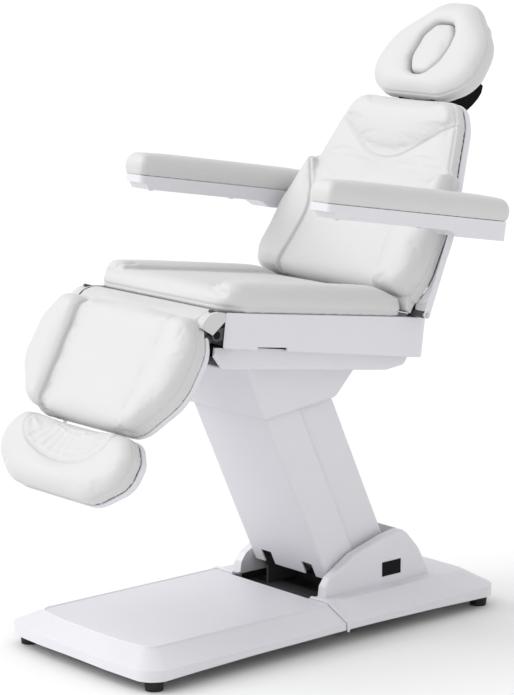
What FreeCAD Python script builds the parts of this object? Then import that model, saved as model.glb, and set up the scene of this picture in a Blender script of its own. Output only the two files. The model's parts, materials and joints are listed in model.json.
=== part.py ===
"""Electric beauty chair with lifting column, reclining back, leg rest, foot rest, headrest and armrests.

Lengths are in millimetres and angles in degrees. X runs across the chair (+X is the sitter's left), the
chair faces -Y, and Z is up. Side profiles are (y, z) pairs measured from the front feet; each piece is
moved back by ORIGIN_Y when it is written, so that the origin is on the floor in the middle of the box.
Seat, back, leg rest, headrest and armrests are drawn flat in their own frames and then turned into place.
"""
import FreeCAD, Part
import math
import os
from FreeCAD import Vector

# Driving dimensions: attitude of each section
ORIGIN_Y = 567.0
SEAT_RAKE = 7.6
BACK_LEAN = 28.0
HEAD_LEAN = 40.0
LEG_DROP = 58.5
ARM_RAKE = 9.4
COLUMN_LEAN = 25.0

# Reference points in side view
SEAT_AT = (220.5, 865.0)
BACK_AT = (835.0, 790.0)
LEG_HINGE = (188.0, 815.0)
BACK_HINGE = (842.0, 806.0)
ARM_PIVOT = (924.0, 1001.0)
ARM_AT = (909.0, 1009.0)
HEAD_AT = (1171.0, 1363.0)

# Base
FOOT_X = 244.0
FOOT_REAR_Y = 1071.0
FOOT_RADIUS = 24.0
FOOT_HEIGHT = 30.0
FOOT_BOLT = 5.0
FEET = [(side * FOOT_X, y) for y in (0.0, FOOT_REAR_Y) for side in (-1, 1)]
BASE_FRONT_Y = -56.0
BASE_REAR_Y = 1112.0
BASE_HALF = 285.0
BASE_RIM_Z = 29.0
BASE_EDGE_Z = 56.0
BASE_TOP_Z = 90.0
BASE_TOP_HALF = 213.0
BASE_END_SLOPE = 54.0
SIDE_ARCH = 10.0
END_ARCH = 4.0
BASE_WALL = 5.0
COVER_JOINT_Y = 572.0
COVER_GAP = 0.8
JOINT_LIP = 2.5
JOINT_LIP_WIDTH = 12.0
SLOT_HALF = 148.0
SLOT_REAR_Y = 868.0
HOUSING_HALF = 176.0
COVER_SCREW_Y = (60.0, 500.0, 640.0, 1010.0)
BASE_HOLE_X = 200.0
COVER_SCREWS = [(side * BASE_HOLE_X, y) for y in COVER_SCREW_Y for side in (-1, 1)]
COVER_SCREW = 2.9
COVER_BOSS = 7.0
COVER_SCREW_TOP = 72.0
CROSS_TUBES_Y = ((-10, 40), (660, 700), (800, 840), (1030, 1070))
RAIL_X = (222.0, 258.0)
RAIL_Z = (33.0, 57.0)
PAN_HALF = 187.0
PAN_Y = ((592, 660), (700, 800))
PAN_THICK = 2.0
SOCKET_Z = 44.0
BRACKET = [(664, 40), (664, 102), (652, 116), (648, 138), (660, 163), (690, 170)]
BRACKET += [(780, 198), (806, 201), (826, 190), (832, 160), (832, 40)]
HOUSING = [(596, 70), (603, 116), (618, 136), (700, 183), (803, 212), (850, 220), (868, 219), (884, 208)]
HOUSING += [(922, 166), (952, 112), (958, 70)]
HOUSING_INNER = [(606, 60), (622, 132), (702, 178), (804, 207), (850, 215), (866, 214)]
HOUSING_INNER += [(880, 204), (917, 163), (946, 111), (952, 60)]

# Lift
LOWER_FRONT_PIVOT = (687.0, 135.0)
LOWER_REAR_PIVOT = (800.0, 176.0)
ARM_LENGTH = 513.0
PIN_RADIUS = 12.0
RUNNING_FIT = 0.05
PIN_FIT = 0.02
BUSH_RADIUS = 16.0
FRONT_BAR_X = (96.0, 108.0)
REAR_BAR_X = (74.0, 86.0)
PLATE_X = (112.0, 120.0)
PIN_HALF = 125.0
BAR_HALF = 25.0
FRONT_SHELL_HALF = 140.0
REAR_SHELL_HALF = 133.0
SHELL_WALL = 4.0
FRONT_FACE = 48.0
FRONT_DEPTH = 102.0
REAR_FACE = 46.0
REAR_DEPTH = 128.0
FRONT_BOSSES = (120.0, 395.0)
REAR_BOSSES = (150.0, 400.0)

# Seat
SEAT_LENGTH = 653.0
SKIRT_HALF = 262.0
SKIRT_WALL = 6.0
SKIRT_CORNER = 36.0
SKIRT_NOSE = 20.0
SKIRT_MOUTH = 254.0
SKIRT_TIP = 12.0
SKIRT_FRONT_DROP = 83.0
SKIRT_REAR_DROP = 101.0
TRAY_HALF = 226.0
TRAY_DROP = 138.0
NECK_HALF = 154.0
NECK_INNER = 146.0
BOARD_THICK = 13.0
CUSHION_HALF = 260.0
CUSHION_END = 14.0
HINGE_PIN = 8.0
LINK_PIN = 6.0
BACK_LUG_X = (236.0, 245.0)
SEAT_BACK_LUG_X = (246.0, 254.0)
LEG_LUG_X = (234.0, 242.0)
SEAT_LEG_LUG_X = (243.0, 251.0)
LINK_X = (300.5, 305.5)
SEAT_RAIL_X = (196.0, 226.0)
SEAT_RAIL_H = (-46.0, -BOARD_THICK)
HEAD_PLATE = [(442, 600), (450, 580), (470, 572), (590, 613), (608, 628), (611, 645), (600, 668), (585, 690)]
HEAD_PLATE += [(620, 790), (430, 812)]
NECK = [(421, 563), (648, 589), (722, 664), (722, 690), (352, 735), (343, 734)]
NECK_INSIDE = [(426, 540), (426, 563), (350, 730), (350, 800), (716, 800), (716, 652), (760, 652), (760, 540)]

# Actuators
LEVER_RADIUS = 62.0
LEVER_PIN = 6.0
LEVER_X = 55.0
LEVER_CLEARANCE = 11.0

# Backrest and headrest
BOLSTER_TILT = 7.0
FRAME_F = (6.0, 26.0)
HEAD_POST_X = 55.0
HEAD_POST = 7.0
HEAD_SLEEVE = 10.0
POST_F = 16.0
ARM_BOSS = 9.0
TILT_AXIS = (1146.0, 1296.0)
TILT_PIN = 8.0
BRIDGE_B = (546.5, 551.5)
EAR_X = (60.0, 68.0)
CHEEK_X = (69.0, 75.0)
CHEEK = [(-3, -76), (20, -90), (71, -82), (80, -55), (85, -32), (85, -13), (78, 4), (44, 4), (-3, -8)]

# Armrests
ARM_INNER_X = 308.0
ARM_OUTER_X = 388.0
LINK_OFFSET = (-27.0, -10.0)
ARM_PIN = 6.0
ARM_LINK_PIN = 5.0
CARRIER_X = (293.0, 298.5)
FOLD_AT = (48.0, 6.0)
FOLD_PIN = 8.0
PAD_SEAM_H = 24.0

# Leg rest and foot rest
LEG_ROLL = 54.5
STRAP = ((44.0, 36.0), (56.0, -16.0))
FOOT_RAIL_X = (100.0, 130.0)
FOOT_RAIL_N = (19.0, 35.0)
SCOOP_RADIUS = 395.0


# Small makers
def block(x, y, z):
    """Box between pairs of limits."""
    return Part.makeBox(x[1] - x[0], y[1] - y[0], z[1] - z[0], Vector(x[0], y[0], z[0]))


def tube(x, y, z, wall, along):
    """Rectangular tube, open along one axis."""
    limits = {"x": x, "y": y, "z": z}
    inner = {}
    for axis, (low, high) in limits.items():
        inner[axis] = (low - 1, high + 1) if axis == along else (low + wall, high - wall)
    return block(x, y, z).cut(block(inner["x"], inner["y"], inner["z"]))


def rod(centre, radius, x):
    """Round bar along X at a point of the side view."""
    return Part.makeCylinder(radius, x[1] - x[0], Vector(x[0], centre[0], centre[1]), Vector(1, 0, 0))


def ring(centre, outer, bore, x):
    return rod(centre, outer, x).cut(rod(centre, bore, (x[0] - 1, x[1] + 1)))


def rod_y(centre, radius, y):
    return Part.makeCylinder(radius, y[1] - y[0], Vector(centre[0], y[0], centre[1]), Vector(0, 1, 0))


def rod_z(centre, radius, z):
    return Part.makeCylinder(radius, z[1] - z[0], Vector(centre[0], centre[1], z[0]))


def ring_y(centre, outer, bore, y):
    return rod_y(centre, outer, y).cut(rod_y(centre, bore, (y[0] - 1, y[1] + 1)))


def sided(x):
    """The same limits on both sides of the middle."""
    return (x, (-x[1], -x[0]))


def edges_where(shape, test):
    return [edge for edge in shape.Edges if test(edge.BoundBox)]


def tilted(shape, angle, y):
    """Turns a flat pad about a line across it, so that one end is thicker."""
    result = shape.copy()
    result.rotate(Vector(0, y, 0), Vector(1, 0, 0), angle)
    return result


def profile(points, x):
    """Side-view outline of straight edges, stretched across X."""
    corners = [Vector(x[0], y, z) for y, z in points]
    face = Part.Face(Part.makePolygon(corners + corners[:1]))
    return face.extrude(Vector(x[1] - x[0], 0, 0))


def both(maker, x, *args):
    """The same piece on the left and on the right, for the limits (near, far) from the middle."""
    return [maker(*args, x), maker(*args, (-x[1], -x[0]))]


def join(shapes):
    result = shapes[0]
    for shape in shapes[1:]:
        result = result.fuse(shape)
    return result.removeSplitter()


def group(shapes):
    return Part.makeCompound(shapes)


def mirrored(shape):
    return shape.mirror(Vector(0, 0, 0), Vector(1, 0, 0))


def bar(start, end, half, x):
    """Flat bar with round ends between two points of the side view."""
    length = math.dist(start, end)
    along = ((end[0] - start[0]) / length, (end[1] - start[1]) / length)
    side = (-along[1] * half, along[0] * half)
    web = [
        (start[0] + side[0], start[1] + side[1]),
        (end[0] + side[0], end[1] + side[1]),
        (end[0] - side[0], end[1] - side[1]),
        (start[0] - side[0], start[1] - side[1]),
    ]
    return join([profile(web, x), rod(start, half, x), rod(end, half, x)])


def turned(shape, angle, at):
    """Turns a shape drawn flat about X and moves its own origin to a point of the side view."""
    result = shape.copy()
    result.rotate(Vector(0, 0, 0), Vector(1, 0, 0), angle)
    result.translate(Vector(0, at[0], at[1]))
    return result


def point(along, above, angle, at):
    """Side-view place of a point (along, above) in a frame turned by angle about X."""
    turn = math.radians(angle)
    y = at[0] + along * math.cos(turn) - above * math.sin(turn)
    z = at[1] + along * math.sin(turn) + above * math.cos(turn)
    return (y, z)


def seat_point(along, above):
    return point(along, above, -SEAT_RAKE, SEAT_AT)


def on_seat(shape):
    return turned(shape, -SEAT_RAKE, SEAT_AT)


def on_back(shape):
    return turned(shape, -BACK_LEAN, BACK_AT)


def on_leg(shape):
    return turned(shape, LEG_DROP, LEG_HINGE)


def on_arm(shape):
    return turned(shape, -ARM_RAKE, ARM_AT)


def on_head(shape):
    return turned(shape, -HEAD_LEAN, HEAD_AT)


def upright(shape):
    """Stands a flat pad up, so that its thickness points forwards."""
    result = shape.copy()
    result.rotate(Vector(0, 0, 0), Vector(1, 0, 0), 90)
    return result


def symmetric(half):
    """Closed outline from its right half, listed from bottom to top as (x, y, corner radius)."""
    return half + [(-x, y, radius) for x, y, radius in reversed(half)]


def outline(corners, z, inset=0.0):
    """Rounded outline at a height, drawn in evenly by an inset."""
    xs = [corner[0] for corner in corners]
    ys = [corner[1] for corner in corners]
    middle = ((min(xs) + max(xs)) / 2, (min(ys) + max(ys)) / 2)
    scale = (1 - 2 * inset / (max(xs) - min(xs)), 1 - 2 * inset / (max(ys) - min(ys)))
    shrink = min(scale)
    points = []
    for x, y, radius in corners:
        place = Vector(middle[0] + (x - middle[0]) * scale[0], middle[1] + (y - middle[1]) * scale[1], z)
        points.append((place, radius * shrink))
    arcs = []
    for index, (corner, radius) in enumerate(points):
        before = (points[index - 1][0] - corner).normalize()
        after = (points[(index + 1) % len(points)][0] - corner).normalize()
        half_angle = before.getAngle(after) / 2
        reach = radius / math.tan(half_angle)
        bisector = (before + after).normalize()
        depth = radius / math.sin(half_angle) - radius
        arcs.append((corner + before * reach, corner + bisector * depth, corner + after * reach))
    edges = []
    for index, (start, middle_point, end) in enumerate(arcs):
        edges.append(Part.Arc(start, middle_point, end).toShape())
        edges.append(Part.LineSegment(end, arcs[(index + 1) % len(arcs)][0]).toShape())
    return Part.Wire(edges)


def pad(corners, levels):
    """Soft pad: an outline lofted through (height, inset) levels, crowned and drawn in at the sides."""
    return Part.makeLoft([outline(corners, z, inset) for z, inset in levels], True, False)


def slab(corners, low, high):
    return Part.Face(outline(corners, low)).extrude(Vector(0, 0, high - low))


def dish(corners, low, high, wall, edge):
    """Shallow moulded shell, open upwards, with a rounded lower edge."""
    outer = pad(corners, [(low, edge), (low + edge * 0.35, edge * 0.3), (low + edge, 0), (high, 0)])
    inner_levels = [(low + wall, edge + wall), (low + wall + edge * 0.35, edge * 0.3 + wall)]
    inner_levels += [(low + wall + edge, wall), (high + 1, wall)]
    return outer.cut(pad(corners, inner_levels))


PIECES = {}


def keep(name, shape):
    PIECES[name] = shape


# Base
def base_outline(side_inset, end_inset):
    front = BASE_FRONT_Y + end_inset
    half = BASE_HALF - side_inset
    corner = 58.0 - side_inset / 2.5
    rear = BASE_REAR_Y - end_inset
    return symmetric([(half * 0.45, front, 300), (half, front + 14, corner), (half, rear, corner)])


def base_body(inset, top):
    """Tapered base block: upright rim, then sloping sides up to the flat top."""
    edge_z = BASE_EDGE_Z - inset * 0.6
    rim = slab(base_outline(inset, inset), BASE_RIM_Z - inset, edge_z)
    lower = outline(base_outline(inset, inset), edge_z)
    upper = outline(base_outline(inset + BASE_HALF - BASE_TOP_HALF, inset + BASE_END_SLOPE), top)
    return join([rim, Part.makeLoft([lower, upper], True, True)])


def with_screw_bosses(cover, places):
    """Adds the blind bosses under a cover, which its screws reach from below."""
    for at in places:
        boss = rod_z(at, COVER_BOSS, (RAIL_Z[1] + 0.3, BASE_TOP_Z - 2))
        cover = cover.fuse(boss).cut(rod_z(at, COVER_SCREW + 0.1, (40, COVER_SCREW_TOP + 3)))
    return cover.removeSplitter()


def base_covers():
    arch = (FOOT_REAR_Y / 2) ** 2 / (2 * SIDE_ARCH)
    side_arch = rod((FOOT_REAR_Y / 2, BASE_RIM_Z + SIDE_ARCH - arch), arch, (-400, 400))
    across = FOOT_X ** 2 / (2 * END_ARCH)
    end_arch = rod_y((0, BASE_RIM_Z + END_ARCH - across), across, (-200, 1400))
    housing = profile(HOUSING, (-HOUSING_HALF, HOUSING_HALF))
    top_edges = [edge for edge in housing.Edges if edge.BoundBox.XLength < 1 and edge.BoundBox.ZMin > 100]
    housing = housing.makeFillet(7.0, top_edges)
    lip_y = (COVER_JOINT_Y, COVER_JOINT_Y + JOINT_LIP_WIDTH)
    lip = base_body(-JOINT_LIP, BASE_TOP_Z + JOINT_LIP).common(block((-400, 400), lip_y, (0, 400)))
    outer = join([base_body(0.0, BASE_TOP_Z), housing, lip])
    inner = base_body(BASE_WALL, BASE_TOP_Z - BASE_WALL)
    shell = outer.cut(inner).cut(side_arch).cut(end_arch)
    slot = block((-SLOT_HALF, SLOT_HALF), (567, SLOT_REAR_Y), (0, 400))
    hollows = both(profile, (SLOT_HALF + BASE_WALL, HOUSING_HALF - BASE_WALL), HOUSING_INNER)
    rear_hollow = profile(HOUSING_INNER, (-SLOT_HALF - BASE_WALL - 1, SLOT_HALF + BASE_WALL + 1))
    rear_hollow = rear_hollow.common(block((-200, 200), (SLOT_REAR_Y + BASE_WALL, 1000), (0, 400)))
    sill = block((-SLOT_HALF, SLOT_HALF), (SLOT_REAR_Y - 1, SLOT_REAR_Y + BASE_WALL + 1), (0, 190))
    for hollow in hollows + [rear_hollow, slot, sill]:
        shell = shell.cut(hollow)
    front = shell.common(block((-400, 400), (-200, COVER_JOINT_Y - COVER_GAP), (0, 400)))
    rear = shell.common(block((-400, 400), (COVER_JOINT_Y, 1300), (0, 400)))
    sockets = [block((-40, -12), (BASE_REAR_Y - 60, BASE_REAR_Y + 10), (SOCKET_Z - 9, SOCKET_Z + 9))]
    sockets += [rod_y((30, SOCKET_Z), 8.5, (BASE_REAR_Y - 60, BASE_REAR_Y + 10))]
    for socket in sockets:
        rear = rear.cut(socket)
    keep("base_front_cover", with_screw_bosses(front, [at for at in COVER_SCREWS if at[1] < COVER_JOINT_Y]))
    keep("base_rear_cover", with_screw_bosses(rear, [at for at in COVER_SCREWS if at[1] > COVER_JOINT_Y]))


def base_structure():
    rails = [tube(x, (-12, 1074), RAIL_Z, 3, "y") for x in (RAIL_X, (-RAIL_X[1], -RAIL_X[0]))]
    cross_x = (-RAIL_X[0], RAIL_X[0])
    crosses = [tube(cross_x, y, RAIL_Z, 3, "x") for y in CROSS_TUBES_Y]
    brackets = []
    for plate in both(profile, PLATE_X, BRACKET):
        for pivot in (LOWER_FRONT_PIVOT, LOWER_REAR_PIVOT):
            plate = plate.cut(rod(pivot, PIN_RADIUS + PIN_FIT, (-200, 200)))
        brackets.append(plate.cut(block((-200, 200), (600, 900), (0, RAIL_Z[1]))))
    arms = [block(x, (y - 10, y + 10), RAIL_Z) for y in COVER_SCREW_Y for x in sided((188, 251))]
    frame = join(rails + crosses + arms + brackets)
    for at in FEET:
        frame = frame.cut(rod_z(at, FOOT_BOLT + 0.1, (20, 60)))
    for at in COVER_SCREWS:
        frame = frame.cut(rod_z(at, COVER_SCREW + 0.1, (20, 100)))
    keep("base_frame", frame)
    pan_z = (RAIL_Z[0], RAIL_Z[0] + PAN_THICK)
    keep("base_pan", group([block((-PAN_HALF, PAN_HALF), y, pan_z) for y in PAN_Y]))
    pins = [rod(pivot, PIN_RADIUS, (-PIN_HALF, PIN_HALF)) for pivot in (LOWER_FRONT_PIVOT, LOWER_REAR_PIVOT)]
    keep("lower_pivot_pins", group(pins))
    feet = []
    bolts = []
    for at in FEET:
        cone = Part.makeCone(FOOT_RADIUS - 3, FOOT_RADIUS, FOOT_HEIGHT, Vector(at[0], at[1], 0))
        flange = rod_z(at, FOOT_RADIUS - 6, (FOOT_HEIGHT, RAIL_Z[0]))
        feet.append(join([cone, flange]).cut(rod_z(at, FOOT_BOLT + 0.1, (10, 40))))
        bolts.append(rod_z(at, FOOT_BOLT, (10.2, 46)))
    keep("base_feet", group(feet))
    keep("foot_bolts", group(bolts))
    screws = []
    for at in COVER_SCREWS:
        shank = rod_z(at, COVER_SCREW, (RAIL_Z[0], COVER_SCREW_TOP))
        screws.append(join([shank, rod_z(at, 6.5, (RAIL_Z[0] - 2.2, RAIL_Z[0]))]))
    keep("cover_screws", group(screws))
    plate = block((HOUSING_HALF, HOUSING_HALF + 1.6), (793, 857), (110, 147))
    keep("rating_plate", plate)
    inlet = block((-39.7, -12.3), (BASE_REAR_Y - 36, BASE_REAR_Y - 0.5), (SOCKET_Z - 8.7, SOCKET_Z + 8.7))
    mouth_y = (BASE_REAR_Y - 22, BASE_REAR_Y + 5)
    inlet = inlet.cut(block((-35, -17), mouth_y, (SOCKET_Z - 5.5, SOCKET_Z + 5.5)))
    blade_y = (BASE_REAR_Y - 24, BASE_REAR_Y - 8)
    blades = [block((x - 1, x + 1), blade_y, (SOCKET_Z - 3, SOCKET_Z + 3)) for x in (-31, -26, -21)]
    keep("power_inlet", join([inlet] + blades))
    socket = rod_y((30, SOCKET_Z), 8.2, (BASE_REAR_Y - 36, BASE_REAR_Y - 0.5))
    keep("handset_socket", socket.cut(rod_y((30, SOCKET_Z), 5.5, (BASE_REAR_Y - 18, BASE_REAR_Y + 5))))
    box = block((-110, 110), (380, 520), (40, 80))
    box = box.makeFillet(4, [edge for edge in box.Edges if edge.BoundBox.ZLength > 30])
    keep("control_box", box)


# Lift column
def lean_axes():
    lean = math.radians(COLUMN_LEAN)
    return (-math.sin(lean), math.cos(lean)), (math.cos(lean), math.sin(lean))


UP, BACKWARD = lean_axes()


def column_point(pivot, back, up):
    y = pivot[0] + BACKWARD[0] * back + UP[0] * up
    z = pivot[1] + BACKWARD[1] * back + UP[1] * up
    return (y, z)


UPPER_FRONT_PIVOT = column_point(LOWER_FRONT_PIVOT, 0, ARM_LENGTH)
UPPER_REAR_PIVOT = column_point(LOWER_REAR_PIVOT, 0, ARM_LENGTH)


def lift_arm(name, lower, upper, bar_x, cross_at, boss_at):
    bars = [bar(lower, upper, BAR_HALF, x) for x in sided(bar_x)]
    cross = ring(column_point(lower, 0, cross_at), 16, 12.5, (-bar_x[0], bar_x[0]))
    frame = join(bars + [cross])
    bushes = []
    for pivot in (lower, upper):
        frame = frame.cut(rod(pivot, BUSH_RADIUS + PIN_FIT, (-200, 200)))
        for limits in sided(bar_x):
            across = (limits[0] - 1.2, limits[1] + 1.2)
            bushes.append(ring(pivot, BUSH_RADIUS, PIN_RADIUS + RUNNING_FIT, across))
    for up in boss_at:
        frame = frame.cut(rod(column_point(lower, 0, up), 4, (-200, 200)))
    keep(name, frame)
    keep(name + "_bushes", group(bushes))


def channel(pivot, half, faces, ups, open_to_rear):
    """Moulded U-shaped shell along an arm: one face wall and two side walls."""
    corners = ((faces[0], ups[0]), (faces[1], ups[1]), (faces[1], ups[2]), (faces[0], ups[3]))
    outer = profile([column_point(pivot, back, up) for back, up in corners], (-half, half))
    face_edges = [edge for edge in outer.Edges if edge.BoundBox.XLength < 1]
    front_back = faces[0] if open_to_rear else faces[1]
    chosen = []
    for edge in face_edges:
        middle = edge.CenterOfMass
        back = (middle.y - pivot[0]) * BACKWARD[0] + (middle.z - pivot[1]) * BACKWARD[1]
        if abs(back - front_back) < 4 and edge.Length > 100:
            chosen.append(edge)
    outer = outer.makeFillet(9.0, chosen)
    if open_to_rear:
        inner = ((faces[0] + SHELL_WALL, ups[0] - 80), (faces[1] + 5, ups[1] - 80))
        inner += ((faces[1] + 5, ups[2] + 80), (faces[0] + SHELL_WALL, ups[3] + 80))
    else:
        inner = ((faces[0] - 5, ups[0] - 80), (faces[1] - SHELL_WALL, ups[1] - 80))
        inner += ((faces[1] - SHELL_WALL, ups[2] + 80), (faces[0] - 5, ups[3] + 80))
    inner_half = half - SHELL_WALL
    hollow = profile([column_point(pivot, back, up) for back, up in inner], (-inner_half, inner_half))
    return outer.cut(hollow)


def with_bosses(shell, pivot, bosses, x):
    """Adds the bosses that carry a shell on the bars of its arm."""
    for up in bosses:
        for limits in sided(x):
            shell = shell.fuse(rod(column_point(pivot, 0, up), 8, limits))
    return shell.removeSplitter()


def lift_column():
    lift_arm("front_arm", LOWER_FRONT_PIVOT, UPPER_FRONT_PIVOT, FRONT_BAR_X, 400.0, FRONT_BOSSES)
    lift_arm("rear_arm", LOWER_REAR_PIVOT, UPPER_REAR_PIVOT, REAR_BAR_X, 130.0, REAR_BOSSES)
    front = channel(LOWER_FRONT_PIVOT, FRONT_SHELL_HALF, (-FRONT_FACE, FRONT_DEPTH - FRONT_FACE),
                    (8, 24, ARM_LENGTH + 10, ARM_LENGTH + 25), True)
    notch_corners = ((-60, 0), (-40, 0), (-40, 46), (-60, 46))
    notch = [column_point(LOWER_FRONT_PIVOT, back, up) for back, up in notch_corners]
    for x in sided((58, 96)):
        front = front.cut(profile(notch, x))
    boss_x = (FRONT_BAR_X[1], FRONT_SHELL_HALF - 3)
    keep("column_front_shell", with_bosses(front, LOWER_FRONT_PIVOT, FRONT_BOSSES, boss_x))
    rear = channel(LOWER_REAR_PIVOT, REAR_SHELL_HALF, (REAR_FACE - REAR_DEPTH, REAR_FACE),
                   (20, -30, ARM_LENGTH + 5, ARM_LENGTH - 6), False)
    boss_x = (REAR_BAR_X[1], REAR_SHELL_HALF - 3)
    keep("column_rear_shell", with_bosses(rear, LOWER_REAR_PIVOT, REAR_BOSSES, boss_x))


def actuator(name, start, end, pin, eye_pin, tube_end, rod_start, x, motor_side):
    """Linear actuator between two pivots: housing with motor and tube, and a sliding rod with a wide eye."""
    length = math.dist(start, end)
    angle = math.degrees(math.atan2(end[1] - start[1], end[0] - start[0]))
    neck = pin + 10
    lug = ring((0, 0), neck, pin + RUNNING_FIT, (-14, 14))
    stem = block((-12, 12), (pin + 4, neck + 14), (-9, 9)).cut(rod((0, 0), pin + 3, (-20, 20)))
    gearbox = block((-26, 26), (neck + 10, neck + 64), (-24, 24))
    gearbox = gearbox.makeFillet(6, gearbox.Edges)
    motor = rod_y((motor_side * 42, 0), 20, (neck + 18, neck + 118))
    bridge = block(sorted((motor_side * 10, motor_side * 42)), (neck + 20, neck + 60), (-14, 14))
    barrel = rod_y((0, 0), 16, (neck + 50, tube_end))
    body = join([lug, stem, gearbox, bridge, motor, barrel])
    body = body.cut(rod_y((0, 0), 9.4, (rod_start - 84, tube_end + 1)))
    bore = eye_pin + LEVER_CLEARANCE
    shaft = rod_y((0, 0), 9.0, (rod_start, length - bore - 1))
    eye = ring((length, 0), bore + 5, bore, (-10, 10))
    for suffix, shape in (("_motor", body), ("_rod", join([shaft, eye]))):
        placed = turned(shape, angle, start)
        placed.translate(Vector(x, 0, 0))
        keep(name + suffix, placed)


# Seat
def lever_tip(hinge, from_vertical):
    """End of a lever below a hinge, swung back from straight down."""
    swing = math.radians(from_vertical)
    return (hinge[0] + LEVER_RADIUS * math.sin(swing), hinge[1] - LEVER_RADIUS * math.cos(swing))


BACK_LEVER = lever_tip(BACK_HINGE, 18.0)
LEG_LEVER = lever_tip(LEG_HINGE, 32.0)
BACK_MOTOR_PIVOT = seat_point(110.0, -80.0)
LEG_MOTOR_PIVOT = seat_point(400.0, -85.0)
LINK_PIVOT = (BACK_HINGE[0] + LINK_OFFSET[0], BACK_HINGE[1] + LINK_OFFSET[1])
LINK_TOP = (ARM_PIVOT[0] + LINK_OFFSET[0], ARM_PIVOT[1] + LINK_OFFSET[1])
def skirt_plan(inset):
    half = SKIRT_HALF - inset
    front = (half, inset - SKIRT_NOSE, SKIRT_CORNER - inset)
    return symmetric([front, (half, SEAT_LENGTH - inset, 30 - inset)])


def seat_skirt():
    bottom = [(-30, -SKIRT_FRONT_DROP), (650, -SKIRT_REAR_DROP), (650, 0), (-30, 0)]
    floor = [(-30, 4 - SKIRT_FRONT_DROP), (650, 4 - SKIRT_REAR_DROP), (650, 20), (-30, 20)]
    outer = slab(skirt_plan(0), -150, 0).common(profile(bottom, (-400, 400)))
    outer = outer.makeFillet(5.0, edges_where(outer, lambda b: b.ZMax < 1 - SKIRT_FRONT_DROP))
    outer = outer.makeFillet(2.5, edges_where(outer, lambda b: b.ZMin > -1))
    inner = slab(skirt_plan(SKIRT_WALL), -150, 60).common(profile(floor, (-400, 400)))
    skirt = outer.cut(inner)
    openings = [block((-SKIRT_MOUTH, SKIRT_MOUTH), (-30, 40), (-200, 50))]
    tip_s = 7 - SKIRT_NOSE + SKIRT_TIP
    for edge, middle in ((1, -SKIRT_TIP), (-SKIRT_FRONT_DROP - 2, SKIRT_TIP - SKIRT_FRONT_DROP)):
        corner = block((-300, 300), (-30, tip_s), sorted((edge, middle)))
        openings.append(corner.cut(rod((tip_s, middle), SKIRT_TIP, (-301, 301))))
    openings += [block((-219, 219), (10, 616), (-200, -60))]
    openings += [block((-90, 90), (600, 700), (-84, 50))]
    openings += [block(x, (94, 188), (-110, -79)) for x in sided((248, 320))]
    for opening in openings:
        skirt = skirt.cut(opening)
    keep("seat_skirt", on_seat(skirt))


def under_cover():
    side = [(-6, -86), (-6, -108), (24, -TRAY_DROP), (560, -TRAY_DROP), (612, -126), (624, -103)]
    inside = [(-2, -70), (-2, -107), (26, 4 - TRAY_DROP), (559, 4 - TRAY_DROP), (609, -122.5), (620, -70)]
    tray = profile(side, (-TRAY_HALF, TRAY_HALF))
    tray = tray.makeFillet(9.0, edges_where(tray, lambda b: b.XLength < 1 and b.ZMax < -104))
    neck = profile(NECK, (-NECK_HALF, NECK_HALF))
    front_edges = edges_where(neck, lambda b: b.XLength < 1 and b.YMax < 425 and b.ZLength > 60)
    neck = neck.makeFillet(12.0, front_edges)
    lower_edges = edges_where(neck, lambda b: b.ZMax < 592 and b.XLength < 1 and b.YLength > 60)
    neck = neck.makeChamfer(5.0, lower_edges)
    cover = on_seat(tray).fuse(neck)
    cover = cover.cut(on_seat(profile(inside, (4 - TRAY_HALF, TRAY_HALF - 4))))
    cover = cover.cut(profile(NECK_INSIDE, (-NECK_INNER, NECK_INNER)))
    gaps = [block((-219, 219), (-20, 33), (-200, 0)), block((-110, 110), (0, 70), (-200, 0))]
    for gap in gaps:
        cover = cover.cut(on_seat(gap))
    keep("under_cover", cover.removeSplitter())


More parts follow.
